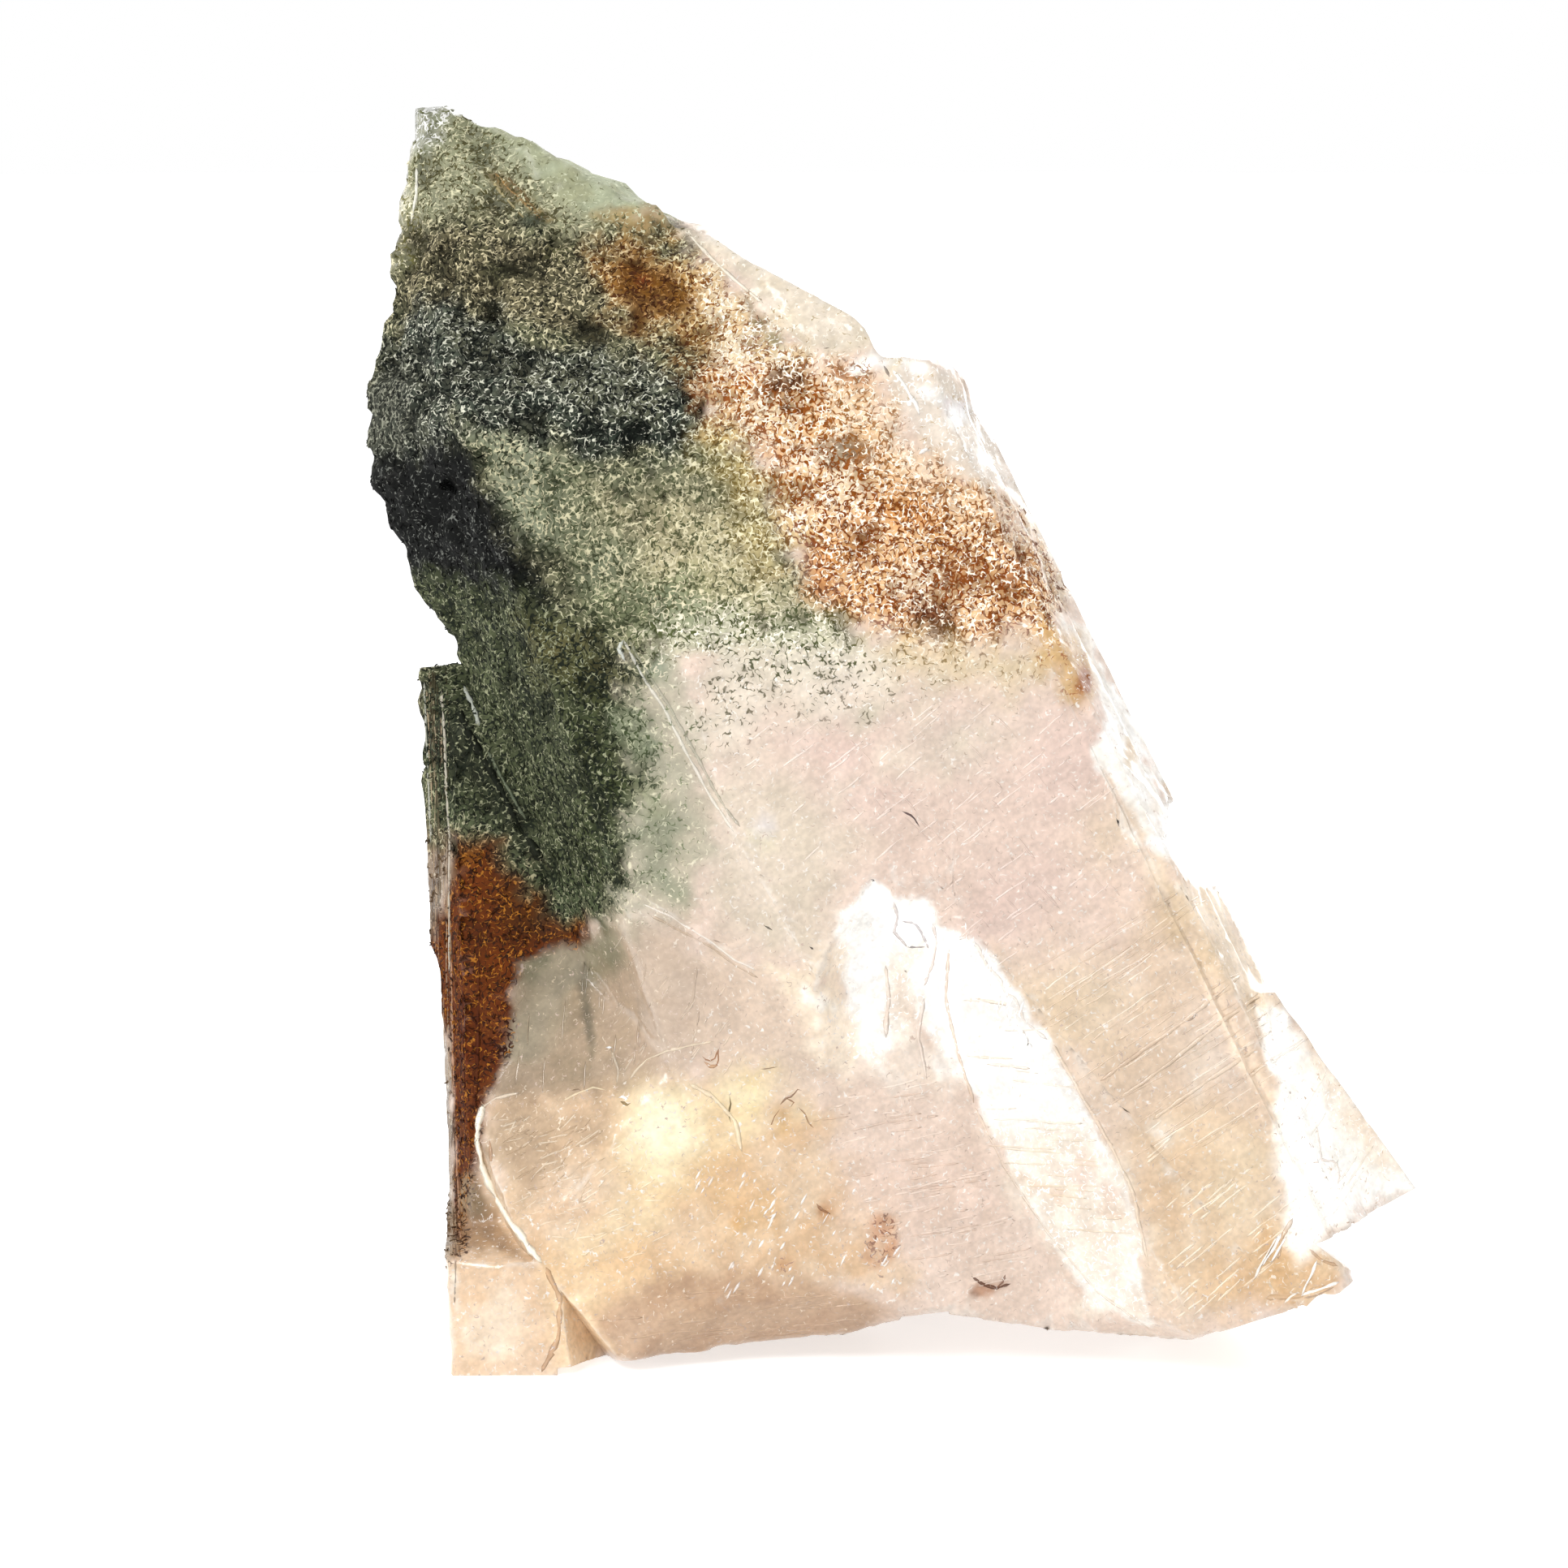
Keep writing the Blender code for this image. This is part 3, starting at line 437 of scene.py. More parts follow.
          (268, 252, 232), (262, 240, 214), 0.8, 0.5, ragged=0.7),
    Zone([(21.7, 11.6), (24.1, 11.6), (26.8, 9.4), (24.6, 8.3), (23.1, 7.5), (22.2, 8.9)], (286, 282, 276),
          (280, 274, 266), 0.9, 0.4, ragged=0.6, clear=0.03),
    stain(26.8, 9.6, 1.6, 0.3, (222, 194, 176), (250, 236, 222), 0.6, 0.3, turn=22, ragged=0.8),
    # fissures at the lower right corner
    Zone([(20.5, 8.5), (22.3, 8.9), (25, 6.2), (24.1, 4), (20.5, 4.5)], (244, 208, 160), (234, 190, 138),
          0.75, 0.6, ragged=0.8, flecks=(262, 244, 220, 0.12)),
]

# Tints of the upper, chlorite-rich half, painted in this order
ZONES += [
    # olive-grey chlorite under everything above the milky body
    Zone([(-29.5, 71.9), (-23.7, 72.8), (-16.3, 69.4), (-10.4, 66), (-12.1, 64.2), (-10.7, 62.5),
          (-9.8, 59.8), (-8.7, 57.1), (-9.8, 55.6), (-9.8, 52.7), (-7.8, 50.9), (-6, 47.3), (-4, 43.5),
          (-2.2, 40.8), (-6.2, 40.2), (-10.3, 40.6), (-13.2, 40.2), (-14.1, 37.9), (-13.8, 33.5),
          (-14.5, 29), (-15.4, 26.3), (-17.9, 25.7), (-20.5, 28.6), (-26.8, 29.9), (-27.7, 38.8),
          (-31.3, 44.6), (-31.3, 54.5), (-29.9, 61.2)], (112, 110, 84), (88, 90, 66), 1, 1, ragged=1.4,
          flecks=(196, 190, 156, 0.32), specks=(34, 38, 26, 0.36), clear=0, rough=0.85, grain=0.9,
          mottle=2),
    # sage field in the middle
    Zone([(-23.7, 51.8), (-20.5, 50.9), (-17.9, 51.2), (-14.7, 50.6), (-10.4, 52), (-7.6, 50.9), (-6, 47.3),
          (-4, 43.5), (-2.2, 40.8), (-6.2, 40.2), (-9.8, 41.3), (-13.4, 40.2), (-16.3, 41.5), (-19.6, 45.5),
          (-22.3, 49.1)], (104, 110, 84), (128, 128, 98), 1, 1.6, ragged=1.4, flecks=(196, 190, 156, 0.36),
          specks=(64, 70, 46, 0.34), clear=0.06, rough=0.7, grain=0.35, mottle=3),
    Zone([(-15.2, 48.2), (-8.9, 49.6), (-5.4, 44.6), (-4, 41.5), (-8.9, 41.1), (-14.3, 43.8)],
          (206, 192, 152), (184, 174, 136), 0.8, 2.2, ragged=1.2, flecks=(226, 216, 180, 0.36),
          specks=(92, 94, 62, 0.34), mottle=2),
    Zone([(-16.1, 43.3), (-10.7, 44.6), (-8.9, 42), (-10.7, 40.2), (-14.3, 40.6)], (150, 155, 111),
          (118, 125, 82), 0.7, 1.5, mottle=2),
    # paler sage by the dark side
    Zone([(-23.7, 53.3), (-20.5, 52.7), (-18.3, 50.9), (-19.6, 49.1), (-17.9, 45.1), (-19.6, 45.1),
          (-22.3, 49.1)], (146, 150, 124), (128, 134, 108), 0.85, 1, ragged=0.9, mottle=1.4),
    stain(-18.3, 47.1, 1.3, 1.3, (96, 102, 80), (112, 116, 92), 0.6, 1, ragged=1.3),
    stain(-15.2, 45.1, 1.8, 1.2, (110, 118, 94), (126, 132, 106), 0.5, 1.2, turn=20, ragged=1.3),
    stain(-12.1, 42.4, 2.7, 1.2, (112, 124, 100), (132, 140, 114), 0.6, 1.2, turn=-20, ragged=1.4),
    # the point: pale sage with olive
    Zone([(-27.7, 70.5), (-23.4, 72.5), (-19.1, 70.5), (-14.4, 68.2), (-10.7, 65.8), (-12.1, 64.2),
          (-15.2, 63.4), (-17.9, 62.5), (-20.5, 64.2), (-24.1, 64.2), (-27.7, 62.5)], (132, 134, 104),
          (152, 152, 122), 1, 0.9, ragged=1.1, flecks=(204, 200, 166, 0.3), specks=(80, 76, 44, 0.34),
          clear=0.12, rough=0.55, grain=0.45, mottle=1.4),
    Zone([(-23.9, 71.8), (-19.7, 70.6), (-14.4, 68.4), (-10.4, 65.8), (-12.2, 64.2), (-13.4, 63.5),
          (-16.3, 64.2), (-19.2, 65.8), (-21.9, 68.2)], (172, 178, 150), (160, 162, 130), 0.85, 0.6,
          ragged=0.8, flecks=(200, 204, 176, 0.12), specks=(110, 110, 78, 0.05), clear=0, rough=0.7,
          grain=0.1, mottle=2),
    Zone([(-27.7, 70.3), (-25.9, 71.4), (-23.4, 70.1), (-24.1, 68.5), (-25.9, 68.2), (-26.8, 67.9)],
          (196, 196, 172), (166, 170, 141), 0.9, 0.4, ragged=0.6, flecks=(250, 250, 248, 0.4),
          specks=(110, 113, 79, 0.2), clear=0.5, rough=0.15, grain=0.4),
    # painted glints as white flecks along the left edge of the point
    Zone([(-28.1, 69.2), (-26.2, 69.2), (-25.8, 66.1), (-26.2, 62.5), (-26.8, 61.2), (-28.1, 61.2)],
          (206, 202, 166), (150, 151, 108), 0.85, 0.3, ragged=0.5, flecks=(250, 243, 210, 0.45),
          specks=(120, 115, 59, 0.25), clear=0.3, rough=0.2, grain=0.5),
    Zone([(-22.3, 66.7), (-21.5, 66.5), (-18.5, 63.8), (-19.3, 63.6), (-20.5, 64.7)], (158, 125, 64),
          (128, 101, 51), 0.8, 0.25, ragged=0.3),
    Zone([(-16.3, 64.2), (-12.9, 64.7), (-12.4, 63.6), (-14.7, 63.2)], (172, 137, 71), (150, 109, 53), 0.65,
          0.4, ragged=0.6),
    # olive-brown crust below the point
    Zone([(-27.2, 63.8), (-22.3, 64.1), (-18.8, 63.2), (-16.1, 62.5), (-13.4, 61.2), (-15.2, 57.1),
          (-17.9, 57.1), (-22.3, 58), (-27.7, 58)], (112, 104, 78), (88, 84, 62), 0.9, 1.2, ragged=1.3,
          flecks=(200, 188, 152, 0.32), specks=(36, 34, 22, 0.38), clear=0, rough=0.9, grain=1, mottle=1.4),
    # darkest crust, a slanting band
    Zone([(-29.5, 56.3), (-27.7, 58), (-25, 59.3), (-21.4, 58.3), (-17.9, 56.7), (-14.7, 56.3),
          (-11.2, 55.1), (-10.3, 53.3), (-11.5, 51.2), (-15.2, 50.4), (-17.9, 51.4), (-20.5, 51.6),
          (-23.4, 52.7), (-24.1, 50), (-26.8, 48.2), (-30.4, 48.2)], (66, 72, 62), (86, 88, 74), 1, 0.9,
          ragged=1.4, flecks=(204, 204, 186, 0.28), specks=(16, 21, 16, 0.44), clear=0, rough=0.85, grain=1,
          mottle=1.4),
    Zone([(-20.5, 53.6), (-17, 54), (-11.6, 53.6), (-11.2, 51.8), (-15.2, 50.8), (-18.3, 51.6)],
          (50, 58, 48), (40, 48, 40)),
    Zone([(-24.1, 57.6), (-17.9, 55.8), (-13.8, 54.9), (-11.6, 53.6), (-15.2, 53.1), (-20.5, 54.9)],
          (112, 112, 90), (92, 94, 78), 0.6, ragged=1.4),
    Zone([(-29.5, 55.8), (-26.8, 55.6), (-26.3, 52.7), (-26.8, 50.9), (-29.5, 50.9)], (64, 66, 57),
          (52, 54, 46), 0.8, 0.6, ragged=0.6, flecks=(112, 113, 97, 0.4), specks=(30, 32, 26, 0.35)),
    # painted shade of pits in the crust
    stain(-19.9, 63.8, 1, 0.7, (54, 62, 51), (44, 48, 39), 0.85, 0.4, ragged=0.5, flecks=(90, 94, 77, 0.2)),
    stain(-21.5, 60.9, 1.2, 0.6, (40, 42, 26), (50, 50, 31), 0.9, 0.4, ragged=0.6,
          flecks=(90, 88, 64, 0.2)),
    stain(-16.8, 57.5, 1, 0.5, (36, 34, 20), (46, 42, 26), 0.95, 0.35, ragged=0.5,
          flecks=(80, 78, 59, 0.15)),
    stain(-23.4, 62.5, 1.1, 0.4, (56, 56, 37), (66, 64, 42), 0.7, 0.4, ragged=0.5),
    stain(-18.3, 62.1, 0.9, 0.4, (70, 72, 42), (80, 80, 50), 0.7, 0.5, ragged=0.5),
    # near-black side
    Zone([(-31.3, 50.9), (-28.1, 50.9), (-25, 51.6), (-23.4, 50.9), (-21.9, 48.2), (-20.1, 45.1),
          (-18.8, 43.1), (-17.9, 40.6), (-22.3, 40.2), (-25, 40.6), (-26.8, 43.8), (-29.9, 46.9)],
          (8, 10, 8), (4, 6, 4), 1, 0.9, ragged=0.7, flecks=(112, 114, 108, 0.17), specks=(5, 7, 5, 0.45),
          clear=0, rough=0.75, grain=0.6),
    # dark green running down the left
    Zone([(-26.8, 43.8), (-22.3, 43.8), (-18.8, 43.1), (-15.8, 40.6), (-14.1, 37.9), (-13.8, 33.5),
          (-14.4, 29), (-15.4, 26.3), (-17.9, 25.8), (-20.5, 28.6), (-22.3, 29.9), (-25, 30.8),
          (-26.8, 35.7)], (60, 66, 44), (78, 84, 58), 1, 1.1, ragged=1.3, flecks=(146, 148, 118, 0.24),
          specks=(24, 30, 18, 0.42), clear=0, rough=0.75, grain=0.5, mottle=1.4),
    Zone([(-20.5, 42), (-17, 41.5), (-14.5, 38.8), (-14.7, 37.5), (-17.9, 37.9), (-20.1, 39.3)],
          (94, 86, 50), (80, 78, 46), 0.65, 1.2, ragged=1.2),
    Zone([(-17.9, 38.8), (-14.7, 38.4), (-14.3, 33.9), (-15.2, 31.3), (-17, 33), (-18.3, 36.2)],
          (52, 60, 33), (60, 64, 35), 0.7, 1, ragged=1.3),
    Zone([(-16.5, 33.5), (-14.5, 33), (-14.7, 29), (-16.1, 26.8), (-17.9, 27.7), (-17.4, 31.3)],
          (48, 56, 30), (62, 70, 40), 0.75, 0.9, ragged=1.3),
    Zone([(-24.8, 36.6), (-22.8, 36.6), (-20.5, 32.1), (-19.1, 28.6), (-20.5, 28.6), (-22.3, 32.1),
          (-24.6, 33.9)], (34, 36, 26), (44, 48, 33), ragged=0.8),
    Zone([(-24.1, 31.3), (-20.1, 29), (-17, 26.8), (-16.1, 25), (-17.9, 26.3), (-21.4, 29), (-24.1, 29.9)],
          (86, 98, 70), (72, 84, 59), 0.5, 0.9),
    # blue-green clouds at its right border
    stain(-14.1, 35.9, 1, 1.7, (128, 138, 112), (146, 150, 124), 0.7, ragged=1.2,
          flecks=(186, 190, 160, 0.2), specks=(72, 84, 52, 0.3)),
    stain(-13.4, 29.7, 1.2, 2, (120, 132, 106), (146, 150, 124), 0.7, 0.9, ragged=1.4,
          flecks=(180, 184, 156, 0.2), specks=(72, 84, 52, 0.26)),
    stain(-11.7, 26.9, 0.7, 0.6, (120, 136, 108), (136, 150, 120), 0.6, 0.5, ragged=0.6),
    stain(-13.4, 31.7, 0.6, 0.9, (176, 174, 141), (150, 155, 122), 0.5, 0.6, ragged=0.8),
    # rust stains in the crust's right part
    Zone([(-16.3, 62), (-13.4, 62.4), (-10.3, 61.5), (-7.4, 58.7), (-8.7, 56.7), (-11.2, 56.2),
          (-13.4, 57.5), (-15.5, 58.9)], (176, 126, 60), (198, 160, 104), 0.85, 1.1, ragged=1.3,
          flecks=(238, 216, 172, 0.36), specks=(104, 56, 12, 0.38), rough=0.8, grain=0.7, mottle=1.4),
    Zone([(-15.4, 61.7), (-13.4, 62), (-12.2, 60.5), (-11.3, 59.3), (-11.9, 58.1), (-13.4, 58.2),
          (-14.5, 57.9), (-15.1, 59.6)], (82, 46, 2), (104, 64, 10), 0.9, 0.7, ragged=1.2,
          flecks=(166, 114, 50, 0.16), specks=(60, 28, 4, 0.34)),
    stain(-13.8, 60.4, 0.4, 0.3, (86, 32, 8), (96, 42, 13), 0.95, 0.2, ragged=0.2),
    Zone([(-12.9, 56.9), (-11.2, 56.9), (-9.8, 55.8), (-10.3, 54.5), (-12.1, 54.9), (-12.9, 55.8)],
          (96, 64, 28), (112, 74, 31), 0.85, 0.6, ragged=0.8, specks=(56, 38, 19, 0.35)),
    Zone([(-10.9, 54.9), (-8, 55.6), (-6.2, 54.9), (-7.6, 52.7), (-8.9, 50.9), (-10.3, 51.8)],
          (176, 123, 64), (196, 153, 95), 0.8, 0.9, ragged=1.1, flecks=(232, 210, 164, 0.4),
          specks=(118, 64, 20, 0.4)),
]

# The rust-brown field: worm-like stains on cream
ZONES += [
    Zone([(-10.3, 55.6), (-7.6, 56.2), (-4.5, 56.6), (-1.8, 55.6), (-0.4, 52.7), (1.3, 50), (5.8, 48.2),
          (8.5, 45.1), (9.6, 42.6), (8, 40.8), (4.5, 40.5), (0.9, 40.5), (-2.2, 41.5), (-4.5, 43.7),
          (-6, 47.3), (-7.8, 50.9), (-9.8, 53.1)], (240, 210, 176), (224, 182, 132), 1, 1.2, ragged=1.2,
          flecks=(266, 252, 230, 0.34), specks=(142, 76, 16, 0.48), clear=0.05, rough=0.6, grain=0.45,
          mottle=1.4),
    Zone([(-4.5, 56.3), (-1.3, 55.8), (0.4, 51.8), (3.6, 48.7), (6.2, 48), (3.6, 46.9), (-0.4, 49.1),
          (-3.1, 52.7)], (240, 212, 182), (228, 192, 152), 0.8, 1.2, ragged=1.2,
          flecks=(262, 252, 230, 0.3), specks=(160, 112, 60, 0.34), mottle=1.4),
    Zone([(-6.7, 47.3), (-2.7, 49.1), (2.2, 48.7), (6.2, 46.9), (8.5, 44.2), (8.5, 41.5), (4.5, 40.8),
          (-0.9, 41.1), (-4.5, 43.8)], (234, 186, 130), (216, 158, 96), 0.7, 1.4, ragged=1.4,
          flecks=(264, 250, 230, 0.34), specks=(124, 60, 12, 0.46), mottle=1.4),
    stain(1, 47.5, 1.6, 1, (206, 131, 48), (196, 117, 39), 0.7, 0.9),
    stain(-6.8, 50.8, 1.1, 0.6, (200, 137, 59), (190, 121, 46), 0.7, 0.7, ragged=0.8),
    stain(-3.9, 44, 1, 2.1, (196, 127, 59), (186, 109, 42), 0.6),
    stain(-5.6, 54.9, 1.2, 0.8, (112, 66, 26), (132, 84, 37), 0.95, 0.5, ragged=0.8,
          specks=(84, 44, 15, 0.5)),
    stain(-6.9, 54.2, 0.8, 0.4, (104, 58, 22), (120, 70, 30), 0.8, 0.5, ragged=0.6),
    stain(-2.4, 55.2, 1.1, 0.4, (152, 84, 35), (172, 107, 53), 0.8, 0.4, turn=-20, ragged=0.6),
    stain(-1.6, 50.8, 0.6, 0.5, (128, 78, 26), (150, 94, 35), 0.85, 0.4, ragged=0.6),
    stain(-3.7, 51.1, 0.5, 0.6, (116, 90, 64), (140, 109, 79), 0.6, 0.4, ragged=0.6),
    stain(-1.5, 46.7, 0.9, 1.5, (150, 86, 31), (168, 101, 42), 0.6, 0.7),
    stain(6.8, 44.4, 0.7, 0.8, (134, 64, 19), (158, 86, 31), 0.85, 0.5, ragged=0.7),
    stain(2.4, 42.1, 1.2, 0.8, (118, 54, 19), (140, 72, 26), 0.9, 0.5, ragged=0.8,
          specks=(84, 36, 13, 0.5)),
    stain(5.6, 41.8, 0.9, 0.6, (160, 96, 39), (176, 113, 55), 0.75, 0.6, ragged=0.7),
    stain(0.2, 42.6, 0.9, 0.6, (176, 109, 50), (160, 94, 39), 0.6, 0.6, ragged=0.8),
    stain(3.6, 44.6, 1.2, 0.8, (186, 117, 55), (172, 101, 42), 0.55, ragged=0.9),
    # pale gaps in the field
    stain(-2.5, 49.1, 0.9, 1.2, (250, 233, 202), (244, 224, 188), 0.6, 0.7),
    stain(1.3, 44.6, 1.3, 1, (246, 226, 197), (240, 214, 182), 0.6, ragged=1.2),
    stain(-6.5, 52.7, 1.2, 0.7, (248, 229, 190), (238, 216, 170), 0.5),
    stain(-5.1, 46.9, 1, 1.2, (240, 222, 173), (232, 208, 152), 0.5),
    # olive and cream between the sage and the rust
    Zone([(-10.7, 51.8), (-8.7, 52.7), (-6.7, 49.1), (-5.6, 45.1), (-7.6, 44.6), (-9.4, 48.2)],
          (198, 180, 128), (184, 164, 104), 0.7, 1.3, ragged=1.3, flecks=(244, 234, 196, 0.4),
          specks=(128, 104, 48, 0.38)),
    # the field's lower border, green and sparse
    Zone([(-13.4, 41.3), (-9.8, 42.3), (-6.2, 42.5), (-3.1, 42), (-0.9, 40.6), (-1.8, 38.8), (-6.2, 38.8),
          (-9.8, 39.3), (-12.9, 39.5)], (216, 212, 182), (188, 190, 158), 0.8, 1.1, ragged=1.4,
          flecks=(266, 258, 238, 0.36), specks=(88, 96, 54, 0.42), rough=0.55, mottle=1.4),
    Zone([(-1.8, 41.1), (3.6, 40.7), (8.5, 40.6), (8.9, 38.4), (4.5, 37.9), (-0.9, 38.4)], (230, 210, 172),
          (218, 198, 158), 0.75, 1.2, ragged=1.3, flecks=(250, 238, 212, 0.2), specks=(146, 124, 70, 0.24),
          rough=0.5, mottle=2),
    # cream end face
    Zone([(-11.2, 63.3), (-7.4, 62.5), (-1.1, 58.7), (-0.7, 56.6), (-4.5, 56.4), (-6.9, 58), (-7.4, 59.3),
          (-8.7, 60.5)], (240, 226, 206), (224, 210, 188), 1, 0.6, ragged=0.8, flecks=(262, 254, 240, 0.12),
          specks=(178, 160, 122, 0.04), clear=0.12, rough=0.35, grain=0.1, mottle=1.4),
    Zone([(-10.7, 61.2), (-8.7, 60.2), (-6.7, 58.3), (-4.5, 56.6), (-6.2, 55.8), (-8.7, 55.8), (-9.8, 57.1),
          (-10.3, 59.4)], (242, 224, 192), (226, 196, 150), 0.85, ragged=1.2, flecks=(268, 260, 244, 0.34),
          specks=(146, 96, 48, 0.3), grain=0.4),
    stain(-7.3, 57.9, 0.5, 0.4, (108, 90, 50), (130, 109, 66), 0.85, 0.25, ragged=0.35),
    stain(-6.4, 57.1, 0.6, 0.5, (160, 159, 121), (140, 133, 93), 0.75, 0.35, ragged=0.4),
    stain(-7.9, 56.9, 0.5, 0.3, (128, 101, 59), (150, 121, 75), 0.7, 0.3, ragged=0.4),
    # brown corner at the right
    Zone([(8.3, 41.5), (10.3, 41.1), (11.2, 38.8), (10.9, 37.5), (8.9, 37.9), (8, 39.7)], (224, 184, 122),
          (208, 164, 102), 0.85, 0.7, ragged=0.8, specks=(160, 98, 46, 0.2)),
    stain(10.4, 38.5, 0.4, 0.6, (150, 74, 28), (170, 98, 46), 0.9, 0.3, ragged=0.4),
    # curls of chlorite scattered over the milky body
    stain(1.1, 37.9, 1.8, 0.9, (238, 220, 202), (226, 212, 190), 0.6, 1.2, ragged=1.4,
          specks=(96, 98, 64, 0.2)),
    stain(5, 35.2, 0.4, 0.4, (226, 212, 190), (214, 204, 178), 0.6, 0.5, ragged=0.8,
          specks=(96, 104, 66, 0.3)),
    stain(-1.5, 36.5, 0.4, 0.6, (170, 172, 134), (150, 156, 118), 0.6, 0.4, turn=-20, ragged=0.7,
          specks=(72, 84, 48, 0.3)),
    Zone([(-11.2, 40.2), (-6.7, 40.6), (-0.9, 40.2), (-0.2, 37.9), (-1.8, 36.2), (-6.2, 36.2), (-8.9, 34.4),
          (-11.2, 35.7)], (244, 232, 214), (234, 222, 202), 0.8, 1.4, ragged=1.4,
          flecks=(262, 254, 244, 0.1), specks=(70, 76, 44, 0.24), rough=0.4, mottle=2),
]

# Painted last, over the borders of the fields
ZONES += [
    # window's ridge without shine; the valley beside the small column and the recess at the foot, painted
    # lighter against the shade that falls in them, and also without shine
    Zone([(-17.9, 24.1), (-16.2, 23.4), (-18.1, 19.6), (-19.5, 17.1), (-20.9, 17.7), (-19.8, 20.5)],
          (142, 132, 112), (158, 146, 124), 0.95, 0.5, ragged=0.5, clear=0, rough=0.6),
    Zone([(15.5, 25.2), (16.3, 25.2), (18, 21.9), (19.8, 18.3), (21.7, 14.5), (21.1, 13.9), (19, 17.6),
          (17.1, 21.4)], (262, 238, 212), (256, 232, 204), 0.8, 0.3, ragged=0.3, clear=0, rough=0.6),
    Zone([(-18.6, 5.2), (-17.8, 5), (-15.6, 2), (-16, 0.4), (-18.5, 0.4)], (258, 230, 194), (246, 214, 176),
          0.95, 0.4, ragged=0.4, clear=0, rough=0.6),
    # greyer patch of the plate, and deeper tan in the broken foot
    Zone([(-22.2, 14.9), (-20.1, 15.4), (-17.9, 15.1), (-15, 14.9), (-15.5, 13.2), (-18.3, 11.6),
          (-20.4, 10), (-21.9, 11.6)], (186, 158, 128), (200, 172, 142), 0.85, 0.9, ragged=1.2,
          flecks=(240, 216, 184, 0.1), mottle=1.4),
    # painted highlight in the gap beside the wedge, blown white, and the tan strip above it
    Zone([(20.6, 16.5), (22.3, 16.1), (23.9, 12.1), (24.1, 7.4), (22, 6.2), (21.3, 9.8), (20.9, 13.4)],
          (290, 288, 284), (276, 272, 262), 0.85, 0.5, ragged=0.9, clear=0.05),
    Zone([(15.2, 27.7), (17.9, 24.6), (20.2, 20.9), (18.8, 20.7), (16.1, 22.8), (14.3, 25.4)],
          (220, 194, 160), (232, 208, 180), 0.8, 0.7, mottle=1.4),
    # painted glints along the crystal that stands behind the rust, and a tan patch beside them
    stain(-1.5, 56, 0.9, 0.4, (290, 290, 288), (280, 276, 268), 0.9, 0.25, turn=10, ragged=0.6),
    stain(1.2, 55.7, 0.5, 0.3, (290, 290, 288), (280, 276, 268), 0.85, 0.25, ragged=0.5),
    stain(2.1, 54.2, 0.6, 0.4, (292, 292, 292), (284, 282, 278), 0.9, 0.25, ragged=0.6),
    stain(3.2, 52.9, 0.5, 0.6, (292, 292, 292), (284, 282, 278), 0.9, 0.25, ragged=0.6),
    stain(3, 54.6, 1.2, 0.6, (226, 208, 180), (234, 216, 190), 0.5, 0.5, turn=40, ragged=0.6),
]

